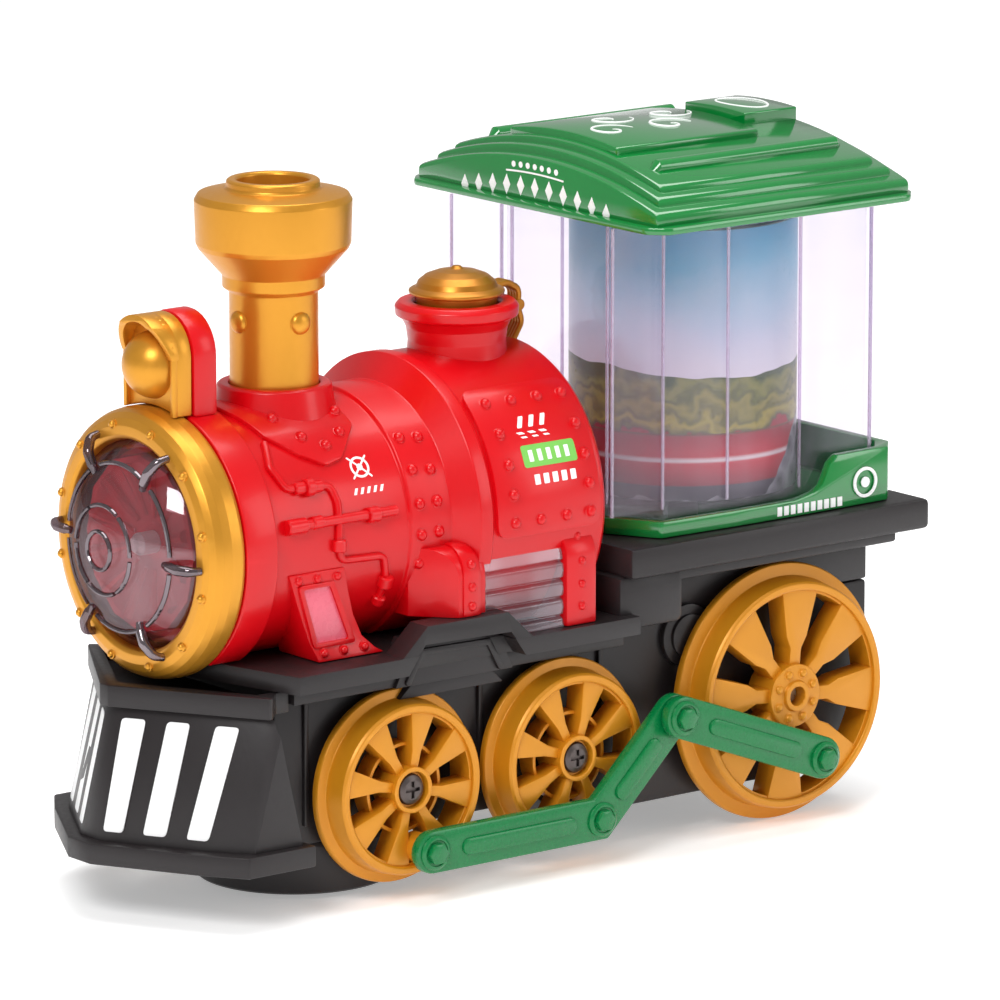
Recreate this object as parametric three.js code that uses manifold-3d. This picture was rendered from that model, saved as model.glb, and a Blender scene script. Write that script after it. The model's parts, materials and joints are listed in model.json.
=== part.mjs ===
// Battery toy steam locomotive: bump-and-go drive turntable, coupled rods, turning picture drum,
// water filler and steam chimney. Millimetres, +Z up, nose towards -X, near side towards -Y.
import * as THREE from "three";
import { mergeVertices } from "three/addons/utils/BufferGeometryUtils.js";
import Module from "manifold-3d";

const wasm = await Module();
wasm.setup();

// ---------------------------------------------------------------- driving dimensions
const CENTRE_SHIFT = -3.15;
const GAP = 0.3;
const RUNNING = 0.06;

const BIG = { x: 70.6, z: 29.5, tread: 26.0, flange: 29.5, hub: 7.2, spokes: 8 };
const SMALL = { z: 24.7, tread: 19.0, flange: 21.7, hub: 5.15, spokes: 8 };
const LEAD_X = -38.5;
const MID_X = 7.6;
const WHEEL_BACK = 26.4;
const WHEEL_FLANGE = 28.6;
const WHEEL_FACE = 34.4;
const AXLE_R = 2.0;
const CRANK = { x: 2.2, z: -13.4 };
const ELBOW = { x: 10.5, z: 11.3 };
const KNEE = { x: 31.6, z: 31.7 };
const ROD_A = { back: 36.8, face: 39.4 };
const ROD_B = { back: 39.8, face: 42.4 };
const ROD_HALF = 4.8;

const FRAME = { front: -68, rear: 101, half: 23.8, wall: 2, low: 8, mid: 13.5, top: 50.3 };
const DECK = { low: 50.7, top: 54.7, half: 36.2, front: -78.3, rear: 24 };
const PLATFORM = { front: 24.4, rear: 109.4, half: 36, low: 63, top: 70 };
const TURN_X = -44.6;
const SKIRT_R = 22.6;
const DRIVE_WHEEL_R = 5;
const CELL = { r: 7.05, length: 49, pitch: 14.4, x: 13.2, z: 17.4 };
const DOOR = { front: 12.8, rear: 64.2, half: 20.2, low: 8, top: 9.7 };

const BOILER_Z = 80;
const BEZEL = { front: -88.6, rear: -79.5, outer: 29.8, bore: 22.9 };
const SMOKEBOX = { rear: -71, r: 29.6 };
const BARREL_R = 27.3;
const STRAP = { front: -34, rear: -22.7, r: 28.2 };
const REAR_BARREL = { front: -18.9, rear: 17, r: 33.8 };
const SHELL_WALL = 2;
const CHIMNEY_X = -49.6;
const DOME_X = 0.9;
const CAP_HINGE = { x: 17.0, z: 120.6 };
const LAMP = { front: -82.4, rear: -78.4, half: 9.1, arch: 121.1, foot: 109.6 };
const SHROUD_REAR = -71.7;

const CAB_X = 66;
const DRUM = { r: 26, low: 74.5, top: 136 };
const ROOF_EAVE = 141.2;

// ---------------------------------------------------------------- materials
function paint(colour, roughness, metalness = 0) {
  return new THREE.MeshStandardMaterial({ color: colour, roughness, metalness });
}

const RED = paint(0xd42a30, 0.4);
const GOLD = paint(0xdc9a2c, 0.35, 0.4);
const GREEN = paint(0x168a48, 0.3);
const BLACK = paint(0x45403f, 0.55);
const SMOKE = paint(0x6b5a5c, 0.1);
const CLEAR = paint(0xe4e0ee, 0.08);
const FILM = paint(0x8fb4c8, 0.4);
const STEEL = paint(0x9a9a9a, 0.3, 1);
const CELL_SKIN = paint(0x3d6f9c, 0.35, 0.3);
const WHITE = paint(0xe6e6e2, 0.5);
const BOARD = paint(0x2c6b3a, 0.5);
const RUBBER = paint(0x222222, 0.9);

// ---------------------------------------------------------------- solids and booleans
function signedVolume(positions, triangles) {
  let total = 0;
  for (let i = 0; i < triangles.length; i += 3) {
    const [a, b, c] = [0, 1, 2].map((k) =>
      new THREE.Vector3().fromArray(positions, 3 * triangles[i + k]));
    total += a.dot(b.cross(c));
  }
  return total;
}

function solid(geometry) {
  const bare = geometry.clone();
  bare.deleteAttribute("normal");
  bare.deleteAttribute("uv");
  const merged = mergeVertices(bare, 1e-4);
  const positions = merged.attributes.position.array;
  const corners = merged.index.array;
  const triangles = [];
  for (let i = 0; i < corners.length; i += 3) {
    const [a, b, c] = corners.slice(i, i + 3);
    if (a !== b && b !== c && c !== a) triangles.push(a, b, c);
  }
  if (signedVolume(positions, triangles) < 0) triangles.reverse();
  return new wasm.Manifold(new wasm.Mesh({
    numProp: 3,
    vertProperties: new Float32Array(positions),
    triVerts: new Uint32Array(triangles),
  }));
}

function join(...shapes) {
  return shapes.reduce((total, shape) => total.add(shape));
}

function cut(shape, ...tools) {
  return tools.reduce((total, tool) => total.subtract(tool), shape);
}

function meshGeometry(shape, flipY) {
  const mesh = shape.getMesh();
  const positions = new Float32Array(mesh.vertProperties);
  const triangles = new Uint32Array(mesh.triVerts);
  if (flipY) {
    for (let i = 1; i < positions.length; i += 3) positions[i] = -positions[i];
    triangles.reverse();
  }
  const geometry = new THREE.BufferGeometry();
  geometry.setAttribute("position", new THREE.BufferAttribute(positions, 3));
  geometry.setIndex(new THREE.BufferAttribute(triangles, 1));
  geometry.computeVertexNormals();
  return geometry;
}

// A profile of [radius, height] pairs turned about the X, Y or Z axis, then moved.
function turned(axis, profile, segments, x = 0, y = 0, z = 0) {
  const points = profile.map(([r, h]) => new THREE.Vector2(r, h));
  const geometry = new THREE.LatheGeometry(points, segments);
  if (axis === "x") geometry.rotateZ(-Math.PI / 2);
  if (axis === "z") geometry.rotateX(Math.PI / 2);
  geometry.translate(x, y, z);
  return solid(geometry);
}

function disc(axis, r, from, to, segments, x = 0, y = 0, z = 0) {
  return turned(axis, [[0, from], [r, from], [r, to], [0, to]], segments, x, y, z);
}

function box(x0, x1, y0, y1, z0, z1) {
  const geometry = new THREE.BoxGeometry(x1 - x0, y1 - y0, z1 - z0);
  geometry.translate((x0 + x1) / 2, (y0 + y1) / 2, (z0 + z1) / 2);
  return solid(geometry);
}

function outline(points) {
  return new THREE.Shape(points.map(([a, b]) => new THREE.Vector2(a, b)));
}

function extruded(shape, depth) {
  return new THREE.ExtrudeGeometry(shape, { depth, bevelEnabled: false, curveSegments: 8 });
}

// An outline of [x, y] points raised from z0 to z1.
function plan(points, z0, z1) {
  const geometry = extruded(outline(points), z1 - z0);
  geometry.translate(0, 0, z0);
  return solid(geometry);
}

// An outline of [x, z] points, carried along Y from y0 to y1.
function side(points, y0, y1) {
  const geometry = extruded(outline(points), y1 - y0);
  geometry.rotateX(Math.PI / 2);
  geometry.translate(0, y1, 0);
  return solid(geometry);
}

// An outline of [y, z] points, carried along X from x0 to x1.
function front(points, x0, x1) {
  const geometry = extruded(outline(points), x1 - x0);
  geometry.rotateX(Math.PI / 2);
  geometry.rotateZ(Math.PI / 2);
  geometry.translate(x0, 0, 0);
  return solid(geometry);
}

// Half of a symmetric [x, y] outline, from nose to tail on the near side, made whole.
function mirrored(points) {
  const far = points.map(([x, y]) => [x, -y]).reverse();
  return [...points, ...far];
}

// A closed skin between two outlines of equal length at heights z0 and z1.
function loft(lower, upper, z0, z1) {
  const corners = [...lower.map(([x, y]) => [x, y, z0]), ...upper.map(([x, y]) => [x, y, z1])];
  const count = lower.length;
  const faces = THREE.ShapeUtils.triangulateShape(outline(lower).getPoints(), []);
  const index = [];
  for (const [a, b, c] of faces) index.push(c, b, a, a + count, b + count, c + count);
  for (let i = 0; i < count; i += 1) {
    const next = (i + 1) % count;
    index.push(i, next, next + count, i, next + count, i + count);
  }
  const geometry = new THREE.BufferGeometry();
  geometry.setAttribute("position", new THREE.Float32BufferAttribute(corners.flat(), 3));
  geometry.setIndex(index);
  return solid(geometry);
}

// The angle points of an arc from one angle to another, in degrees.
function arc(centreA, centreB, r, fromDeg, toDeg, steps) {
  const points = [];
  for (let i = 0; i <= steps; i += 1) {
    const angle = THREE.MathUtils.degToRad(fromDeg + ((toDeg - fromDeg) * i) / steps);
    points.push([centreA + r * Math.cos(angle), centreB + r * Math.sin(angle)]);
  }
  return points;
}

const train = new THREE.Group();
train.position.x = CENTRE_SHIFT;

function place(name, shape, material, { x = 0, y = 0, z = 0, flipY = false } = {}) {
  const mesh = new THREE.Mesh(meshGeometry(shape, flipY), material);
  mesh.name = name;
  mesh.position.set(x, y, z);
  train.add(mesh);
}

function placePair(name, shape, material, position = {}) {
  place(`${name}_near`, shape, material, position);
  place(`${name}_far`, shape, material, { ...position, flipY: true });
}

// ---------------------------------------------------------------- wheels
// Every wheel is made about its own centre, with its face towards -Y.
function wheelRim(wheel) {
  const inner = wheel.tread - 2.6;
  const profile = [
    [inner, -WHEEL_BACK], [wheel.flange, -WHEEL_BACK], [wheel.flange, -WHEEL_FLANGE],
    [wheel.tread + 0.5, -WHEEL_FLANGE], [wheel.tread, -WHEEL_FACE], [inner, -WHEEL_FACE],
    [inner, -WHEEL_BACK],
  ];
  return turned("y", profile, 32);
}

function spoke(angle, from, to, rootHalf, tipHalf) {
  const [x0, x1] = [from, to];
  const geometry = extruded(outline([[x0, -rootHalf], [x1, -tipHalf], [x1, tipHalf], [x0, rootHalf]]), 3.4);
  geometry.rotateX(Math.PI / 2);
  geometry.rotateY(-angle);
  geometry.translate(0, -WHEEL_FACE + 4.8, 0);
  return solid(geometry);
}

function wheelWeb(wheel, phase, rootHalf, tipHalf) {
  const spokes = [];
  for (let i = 0; i < wheel.spokes; i += 1) {
    const angle = phase + (2 * Math.PI * i) / wheel.spokes;
    spokes.push(spoke(angle, wheel.hub - 1.5, wheel.tread - 2.2, rootHalf, tipHalf));
  }
  return join(...spokes);
}

function crankPin(root) {
  const boss = disc("y", 3.4, -36.5, -WHEEL_FACE + 3, 12, CRANK.x, 0, CRANK.z);
  const pin = disc("y", AXLE_R, root, -WHEEL_FACE + 2, 16, CRANK.x, 0, CRANK.z);
  return join(boss, pin);
}

function smallWheel(withCrank) {
  const hub = disc("y", SMALL.hub, -WHEEL_FACE - 0.4, -WHEEL_BACK + 0.1, 16);
  const phase = Math.atan2(CRANK.z, CRANK.x);
  let body = join(wheelRim(SMALL), wheelWeb(SMALL, phase, 1.1, 3.3), hub);
  if (withCrank) body = join(body, crankPin(-ROD_A.face + 0.4));
  const bore = disc("y", 1.5 + RUNNING, -40, -20, 16);
  const recess = disc("y", 4.1, -40, -WHEEL_FACE + 1.6, 16);
  return cut(body, bore, recess);
}

function bigWheel() {
  const hub = disc("y", BIG.hub, -WHEEL_FACE - 0.4, -WHEEL_BACK + 0.1, 20);
  const phase = Math.atan2(CRANK.z, CRANK.x);
  const body = join(wheelRim(BIG), wheelWeb(BIG, phase, 1.7, 5.2), hub, crankPin(-ROD_B.face + 0.4));
  const socket = disc("y", AXLE_R + GAP, -WHEEL_FACE + 1.5, -20, 16);
  const centreHole = disc("y", 1.5, -40, -20, 12);
  return cut(body, socket, centreHole);
}

function wheelScrew() {
  const head = disc("y", 3.5, -WHEEL_FACE - 0.1, -WHEEL_FACE + 1.3, 12);
  const shank = disc("y", 1.5, -WHEEL_FACE + 1, -24.6, 16);
  const slotA = box(-1.8, 1.8, -WHEEL_FACE - 1, -WHEEL_FACE + 0.5, -0.4, 0.4);
  const slotB = box(-0.4, 0.4, -WHEEL_FACE - 1, -WHEEL_FACE + 0.5, -1.8, 1.8);
  return cut(join(head, shank), slotA, slotB);
}

placePair("big_wheel", bigWheel(), GOLD, { x: BIG.x, z: BIG.z });
placePair("lead_wheel", smallWheel(true), GOLD, { x: LEAD_X, z: SMALL.z });
placePair("mid_wheel", smallWheel(false), GOLD, { x: MID_X, z: SMALL.z });
placePair("lead_wheel_screw", wheelScrew(), STEEL, { x: LEAD_X, z: SMALL.z });
placePair("mid_wheel_screw", wheelScrew(), STEEL, { x: MID_X, z: SMALL.z });
const axleHalf = WHEEL_FACE - 1.5 - GAP;
place("rear_axle", disc("y", AXLE_R, -axleHalf, axleHalf, 16), STEEL, { x: BIG.x, z: BIG.z });

// ---------------------------------------------------------------- coupling rods
// A straight bar with round ends between two points, thick from y0 out to y1.
function bar(a, b, half, y0, y1) {
  const angle = Math.atan2(b.z - a.z, b.x - a.x);
  const degrees = THREE.MathUtils.radToDeg(angle);
  const nearEnd = arc(a.x, a.z, half, degrees + 90, degrees + 270, 6);
  const farEnd = arc(b.x, b.z, half, degrees - 90, degrees + 90, 6);
  return side([...nearEnd, ...farEnd], -y1, -y0);
}

function along(a, b, share) {
  return { x: a.x + (b.x - a.x) * share, z: a.z + (b.z - a.z) * share };
}

function boltHead(point, face) {
  const boss = disc("y", 3.6, -face - 0.7, -face + 0.5, 12, point.x, 0, point.z);
  const hex = disc("y", 2.3, -face - 1.9, -face - 0.2, 6, point.x, 0, point.z);
  return join(boss, hex);
}

function rodBore(point, rod, r) {
  return disc("y", r, -rod.face + 0.2, -rod.back + 1, 16, point.x, 0, point.z);
}

function frontRod() {
  const pin = { x: LEAD_X + CRANK.x, z: SMALL.z + CRANK.z };
  const lower = bar(pin, ELBOW, ROD_HALF, ROD_A.back, ROD_A.face);
  const upper = bar(ELBOW, KNEE, ROD_HALF, ROD_A.back, ROD_A.face);
  const ribs = [[pin, ELBOW, 0.22, 0.8], [ELBOW, KNEE, 0.3, 0.68]].map(([a, b, from, to]) =>
    bar(along(a, b, from), along(a, b, to), 1.7, ROD_A.face - 0.3, ROD_A.face + 0.6));
  const body = join(lower, upper, ...ribs, boltHead(pin, ROD_A.face), boltHead(ELBOW, ROD_A.face));
  const kneeHole = disc("y", 2.0 + 0.5, -ROD_A.face - 1, -ROD_A.back + 1, 16, KNEE.x, 0, KNEE.z);
  return cut(body, rodBore(pin, ROD_A, AXLE_R + RUNNING), kneeHole);
}

function rearRod() {
  const pin = { x: BIG.x + CRANK.x, z: BIG.z + CRANK.z };
  const body = bar(KNEE, pin, ROD_HALF, ROD_B.back, ROD_B.face);
  const rib = bar(along(KNEE, pin, 0.24), along(KNEE, pin, 0.78), 1.7, ROD_B.face - 0.3, ROD_B.face + 0.6);
  const stud = disc("y", 2.0, -ROD_B.back - 0.5, -ROD_A.back - 0.3, 16, KNEE.x, 0, KNEE.z);
  const whole = join(body, rib, boltHead(KNEE, ROD_B.face), boltHead(pin, ROD_B.face), stud);
  return cut(whole, rodBore(pin, ROD_B, AXLE_R + RUNNING));
}

placePair("front_rod", frontRod(), GREEN);
placePair("rear_rod", rearRod(), GREEN);

// ---------------------------------------------------------------- chassis
function frameOutline(inset, top) {
  const { front: f, rear: r, low, mid } = FRAME;
  const i = inset;
  return [[f + i, top], [f + i, mid + i], [5 + i / 2, mid + i], [11 + i / 2, low + i],
    [95 - i / 2, low + i], [r - i, 17 + i / 2], [r - i, top]];
}

function chassisFrame() {
  const { half, wall, top } = FRAME;
  const tub = cut(
    side(frameOutline(0, top), -half, half),
    side(frameOutline(wall, top + 5), -half + wall, half - wall),
  );
  const bosses = [];
  const screwHoles = [];
  for (const x of [LEAD_X, MID_X]) {
    for (const sign of [-1, 1]) {
      const [y0, y1] = [sign * 22.5, sign * 26.0].sort((a, b) => a - b);
      bosses.push(disc("y", 3.6, y0, y1, 12, x, 0, SMALL.z));
      screwHoles.push(disc("y", 1.5 + GAP, y0 - 2, y1 + 2, 12, x, 0, SMALL.z));
    }
  }
  const axleHole = disc("y", AXLE_R + RUNNING, -30, 30, 16, BIG.x, 0, BIG.z);
  const neckHole = disc("z", 9 + RUNNING, 10, 18, 32, TURN_X, 0, 0);
  const doorHole = box(DOOR.front - GAP, DOOR.rear + GAP, -DOOR.half - GAP, DOOR.half + GAP, 5, 12);
  const switchSlot = box(79, 88, -3.3, 3.3, 5, 12);
  return cut(join(tub, ...bosses), ...screwHoles, axleHole, neckHole, doorHole, switchSlot);
}

function footplate() {
  const deckHalf = [[DECK.front, -8], [-77, -10.3], [-70.4, -DECK.half], [DECK.rear, -DECK.half]];
  const deck = plan(mirrored(deckHalf), DECK.low, DECK.top);
  const step = [[-44, 50.7], [-41.3, 50.7], [-36.2, 57], [-12.5, 56.5], [-7.9, 50.7], [-5, 50.7],
    [-5, 54.7], [-6.5, 54.7], [-13.3, 61], [-35.6, 61], [-42.4, 54.7], [-44, 54.7]];
  const underStep = [[-41.3, 50], [-36.2, 57], [-12.5, 56.5], [-7.9, 50]];
  const pieces = [[-DECK.half, -30], [30, DECK.half]].map(([y0, y1]) => side(step, y0, y1));
  const notches = [[-DECK.half - 1, -31.5], [31.5, DECK.half + 1]].map(([y0, y1]) =>
    side(underStep, y0, y1));
  return join(cut(deck, ...notches), ...pieces);
}

function rearPlatform() {
  const slab = box(PLATFORM.front - 2.7, PLATFORM.rear, -PLATFORM.half, PLATFORM.half,
    PLATFORM.low, PLATFORM.top);
  const rim = box(PLATFORM.front, 102, -33, 33, 60.6, PLATFORM.low + 0.5);
  const bay = box(PLATFORM.front, FRAME.rear, -FRAME.half, FRAME.half, DECK.low, PLATFORM.low + 0.5);
  const inside = box(PLATFORM.front + 2, FRAME.rear - 2, -21.8, 21.8, 49, 66);
  const spindleHole = disc("z", 3.6, 60, 75, 16, CAB_X, 0, 0);
  return cut(join(slab, rim, bay), inside, spindleHole);
}

function bufferBeam() {
  const halfPlan = [[-96, -1.5], [-77, -31.8], [-74, -34.4], [-68.4, -34.4]];
  const halfRecess = [[-92.5, -1], [-75.5, -29], [-71, -31]];
  return cut(plan(mirrored(halfPlan), 45.7, 50.4), plan(mirrored(halfRecess), 47.6, 52));
}

function cowcatcher() {
  const low = [[-100.5, -3.6], [-88.5, -24.8], [-81.5, -34], [-62.6, -34.4]];
  const high = [[-93.5, -2.2], [-76, -31], [-72.5, -33.6], [-62.6, -33.6]];
  const lowIn = [[-97.5, -2.6], [-86, -22.8], [-79.5, -31], [-60, -31.4]];
  const highIn = [[-90.5, -1.6], [-74, -28.4], [-71, -30.6], [-60, -30.6]];
  const wall = cut(
    loft(mirrored(low), mirrored(high), 15, 45.4),
    loft(mirrored(lowIn), mirrored(highIn), 14, 43),
    box(-70, -55, -30.6, 30.6, 10, 50),
  );
  const rail = cut(
    plan(mirrored([[-103.1, -4], [-91, -26], [-84, -36], [-66, -36]]), 12.3, 17),
    plan(mirrored([[-98.5, -2.8], [-87, -23.5], [-80.5, -31.4], [-60, -31.4]]), 10, 19),
  );
  return join(wall, rail);
}

function couplerPeg() {
  return box(FRAME.rear + GAP, PLATFORM.rear - 1, -4, 4, 44, 49.5);
}

place("chassis_frame", chassisFrame(), BLACK);
place("footplate", footplate(), BLACK);
place("rear_platform", rearPlatform(), BLACK);
place("buffer_beam", bufferBeam(), BLACK);
place("cowcatcher", cowcatcher(), BLACK);
place("rear_coupler", couplerPeg(), BLACK);

// ---------------------------------------------------------------- battery box and switch
function batteryDoor() {
  const plate = box(DOOR.front, DOOR.rear, -DOOR.half, DOOR.half, DOOR.low, DOOR.top);
  const thumbNotch = box(DOOR.front - 1, DOOR.front + 2.5, -5, 5, DOOR.low - 1, DOOR.low + 0.8);
  return cut(plate, thumbNotch);
}

function cell() {
  const { r, length } = CELL;
  return turned("x", [[0, 0], [r, 0], [r, length], [2.7, length], [2.7, length + 1.2], [0, length + 1.2]], 12);
}

place("battery_door", batteryDoor(), BLACK);
for (let i = 0; i < 3; i += 1) {
  place(`battery_cell_${i + 1}`, cell(), CELL_SKIN, { x: CELL.x, y: (i - 1) * CELL.pitch, z: CELL.z });
}
place("power_switch", join(box(80, 83.4, -3, 3, 7.6, 10.4), box(79.6, 83.8, -5, 5, 10.3, 11.8)), WHITE);

// ---------------------------------------------------------------- drive turntable
function turntableSkirt() {
  const profile = [[0, 17.2], [9, 17.2], [9, 13.1], [SKIRT_R - 1, 13.1], [SKIRT_R, 12.4],
    [SKIRT_R, 0.8], [SKIRT_R - 2, 0.8], [SKIRT_R - 2, 11.1], [0, 11.1]];
  const shell = turned("z", profile, 36);
  const bearings = [-1, 1].map((sign) => {
    const [y0, y1] = [sign * 16.4, sign * 19].sort((a, b) => a - b);
    return box(-3, 3, y0, y1, 2.6, 11.5);
  });
  const axleHole = disc("y", 1.5 + RUNNING, -19.6, 19.6, 16, 0, 0, DRIVE_WHEEL_R);
  return cut(join(shell, ...bearings), axleHole);
}

place("turntable_skirt", turntableSkirt(), BLACK, { x: TURN_X });
place("drive_gearbox", box(-8, 8, -6, 6, 17.5, 27), WHITE, { x: TURN_X });
place("drive_motor", disc("z", 6.5, 27.3, 44, 20), STEEL, { x: TURN_X });
place("drive_axle", disc("y", 1.5, -18.8, 18.8, 16), STEEL, { x: TURN_X, z: DRIVE_WHEEL_R });
placePair(
  "drive_wheel",
  turned("y", [[1.8, -14.5], [DRIVE_WHEEL_R - 0.6, -14.5], [DRIVE_WHEEL_R, -13.9],
    [DRIVE_WHEEL_R, -9.1], [DRIVE_WHEEL_R - 0.6, -8.5], [1.8, -8.5], [1.8, -14.5]], 24),
  RUBBER,
  { x: TURN_X, z: DRIVE_WHEEL_R },
);

// ---------------------------------------------------------------- boiler
const BOILER_STEPS = [[BEZEL.rear + GAP, SMOKEBOX.r], [SMOKEBOX.rear, SMOKEBOX.r],
  [SMOKEBOX.rear + 0.8, BARREL_R], [STRAP.front, BARREL_R], [STRAP.front + 0.6, STRAP.r],
  [STRAP.rear, STRAP.r], [REAR_BARREL.front, REAR_BARREL.r], [REAR_BARREL.rear - 1, REAR_BARREL.r],
  [REAR_BARREL.rear, REAR_BARREL.r - 1]];

function boilerTube(offset, from, to) {
  const steps = BOILER_STEPS.map(([x, r]) => [r + offset, Math.min(Math.max(x, from), to)]);
  return turned("x", [[0, from], ...steps, [0, to]], 36, 0, 0, BOILER_Z);
}

// The fenders and the window between them share one outline: upright, then rounded over at the top.
function fender(inset) {
  const y = 34.4 - inset;
  return [[-20, 50], [-y, 50], ...arc(6 - y, 70 - inset, 6, 180, 95, 6), [-20, 76.5 - inset]];
}

function boilerShell() {
  const outside = boilerTube(0, BEZEL.rear + GAP, REAR_BARREL.rear);
  const inside = boilerTube(-SHELL_WALL, SMOKEBOX.rear - 4, REAR_BARREL.rear - SHELL_WALL);
  const below = box(-100, 40, -60, 60, 20, DECK.top + GAP);
  const filler = disc("z", 10.6, 100, 120, 24, DOME_X, 0, 0);
  const flue = disc("z", 8.4, 96, 120, 24, CHIMNEY_X, 0, 0);
  const lampWire = disc("x", 3, -90, -70, 12, 0, 0, BOILER_Z);
  const trunk = box(-64, 14, -22, 22, DECK.top + GAP, 62);
  const trunkInside = box(-62, 12, -20, 20, 50, 63);
  const hollow = join(inside, trunkInside);
  const saddle = turned("z", [[0, 96], [18, 96], [14.4, 104.5], [12.6, 107.6], [12.2, 108.7], [0, 108.7]],
    24, CHIMNEY_X, 0, 0);
  return cut(join(outside, trunk, saddle), hollow, below, filler, flue, lampWire);
}

place("boiler_shell", boilerShell(), RED);

// Foot bracket under the smokebox, and the two riveted fenders beside the window.
function boilerClear() {
  return join(boilerTube(GAP, BEZEL.rear + GAP, REAR_BARREL.rear), box(-64.3, 14.3, -22.3, 22.3, 50, 62.3));
}

function footBracket() {
  const foot = [[-60.5, DECK.top + GAP], [-42.5, DECK.top + GAP], [-51.5, 74.6], [-66.5, 74.6]];
  return cut(side(foot, -28.4, -20), boilerClear());
}

function fenderBlock(x0, x1, floor) {
  const block = front(fender(0), x0, x1);
  return cut(block, boilerClear(), box(-60, 40, -60, 0, 40, floor + GAP));
}

function frontFender() {
  const wedge = plan([[-33, -18], [-33, -26], [-25.4, -34.4], [-17.7, -34.4], [-17.7, -18]], 50, 90);
  const block = front(fender(0), -33, -17.7);
  const step = side([[-44, 50], [-42.7, 54.7], [-35.7, 61.3], [-13.2, 61.3], [-6.4, 54.7], [-5, 50]], -37, -29.7);
  const shape = block.intersect(wedge);
  return cut(shape, boilerClear(), step, box(-60, 40, -60, 0, 40, DECK.top + GAP));
}

placePair("foot_bracket", footBracket(), RED);
placePair("front_fender", frontFender(), RED);
placePair("rear_fender", fenderBlock(4.5, 12.9, DECK.top), RED);
placePair(
  "side_window",
  cut(
    front(fender(1), -17.4, 4.2),
    boilerClear(),
    side([[-44, 50], [-42.7, 54.7], [-35.7, 61.3], [-13.2, 61.3], [-6.4, 54.7], [-5, 50]], -37, -29.7),
    box(-60, 40, -60, 0, 40, DECK.top + GAP),
  ),
  CLEAR,
);

// ---------------------------------------------------------------- headlight in the smokebox door
const bezelProfile = [
  [BEZEL.bore, BEZEL.front + 0.9], [BEZEL.bore + 1, BEZEL.front], [27.4, BEZEL.front],
  [29.2, BEZEL.front + 1.8], [BEZEL.outer, BEZEL.front + 4], [BEZEL.outer, BEZEL.rear - 1],
  [BEZEL.outer - 0.6, BEZEL.rear], [BEZEL.bore, BEZEL.rear], [BEZEL.bore, BEZEL.front + 0.9],
];
place("bezel_ring", turned("x", bezelProfile, 32, 0, 0, BOILER_Z), GOLD);

function domeLens() {
  const outer = [[0, -97.4], [6, -96.9], [12, -95.4], [17.5, -92.6], [21, -89.5], [22.4, -87], [22.4, -82.4]];
  const inner = [[20.8, -82.4], [20.8, -87], [19.4, -89], [16.2, -91.6], [11.2, -93.9], [6, -95.3], [0, -95.7]];
  return turned("x", [...outer, ...inner], 24, 0, 0, BOILER_Z);
}

place("headlight_lens", domeLens(), SMOKE);
place(
  "reflector",
  turned("x", [[0, -82], [5, -82], [18, -86.2], [20, -86.2], [20, -82.1], [22.4, -82.1], [22.4, -79.7],
    [0, -79.7]], 24, 0, 0, BOILER_Z),
  RED,
);
place("headlight_led", turned("x", [[0, -88], [1.6, -87.6], [2.5, -86.4], [2.5, -82.3], [0, -82.3]], 16, 0, 0,
  BOILER_Z), WHITE);

// ---------------------------------------------------------------- top lamp
function archOutline(half, foot, centre) {
  return [[-half, foot], [half, foot], ...arc(0, centre, half, 0, 180, 12)];
}

function topLamp() {
  const frame = front(archOutline(LAMP.half, LAMP.foot, LAMP.arch), LAMP.front, LAMP.rear);
  const ball = turned("x", [[0, -7.4], [3.6, -6.5], [6.3, -4], [7.5, 0], [7.5, 1], [0, 1]], 24,
    LAMP.front, 0, 118.7);
  const ring = arc(0, LAMP.arch, LAMP.half, 25, 155, 12);
  const inner = arc(0, LAMP.arch, LAMP.half - 1.5, 155, 25, 12);
  const visor = cut(
    front([...ring, ...inner], -90.2, LAMP.front + 0.5),
    side([[-95, 100], [-95, 128.4], [-90.6, 128.4], [-83.6, 121], [-83.6, 100]], -12, 12),
  );
  const clear = turned("x", [[0, -95], [BEZEL.outer + GAP, -95], [BEZEL.outer + GAP, -70], [0, -70]], 40,
    0, 0, BOILER_Z);
  return cut(join(frame, ball, visor), clear);
}

function lampShroud() {
  const shape = front(archOutline(LAMP.half + 0.2, 104, LAMP.arch - 0.2), LAMP.rear + GAP, SHROUD_REAR);
  return cut(shape, turned("x", [[0, -95], [BEZEL.outer + GAP, -95], [BEZEL.outer + GAP, -60], [0, -60]], 40,
    0, 0, BOILER_Z));
}

place("top_lamp", topLamp(), GOLD);
place("lamp_shroud", lampShroud(), RED);

// ---------------------------------------------------------------- chimney
const chimneyProfile = [
  [6.4, 109], [10.6, 109], [10, 111], [9.7, 113], [9.7, 131.6],
  [11.2, 132.6], [11.2, 135], [16.3, 140.9], [17.2, 152], [10.4, 154.4], [10.2, 155.7], [9.6, 156],
  [7.9, 156], [7.9, 150], [6.4, 146], [6.4, 109],
];
place("chimney", turned("z", chimneyProfile, 24, CHIMNEY_X, 0, 0), GOLD);

// ---------------------------------------------------------------- water filler and its cap
const COLLAR_CLEAR = REAR_BARREL.r + GAP;
function fillerCollar() {
  const profile = [[9.4, 108], [13.6, 108], [12.2, 113.4], [11.3, 116.2], [11.4, 118.4], [12.6, 120],
    [13.4, 120.6], [13.4, 122.6], [12.6, 123.4], [10, 123.4], [9.4, 122.8], [9.4, 108]];
  return cut(turned("z", profile, 24, DOME_X, 0, 0), disc("x", COLLAR_CLEAR, -40, 40, 48, 0, 0, BOILER_Z));
}

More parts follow.
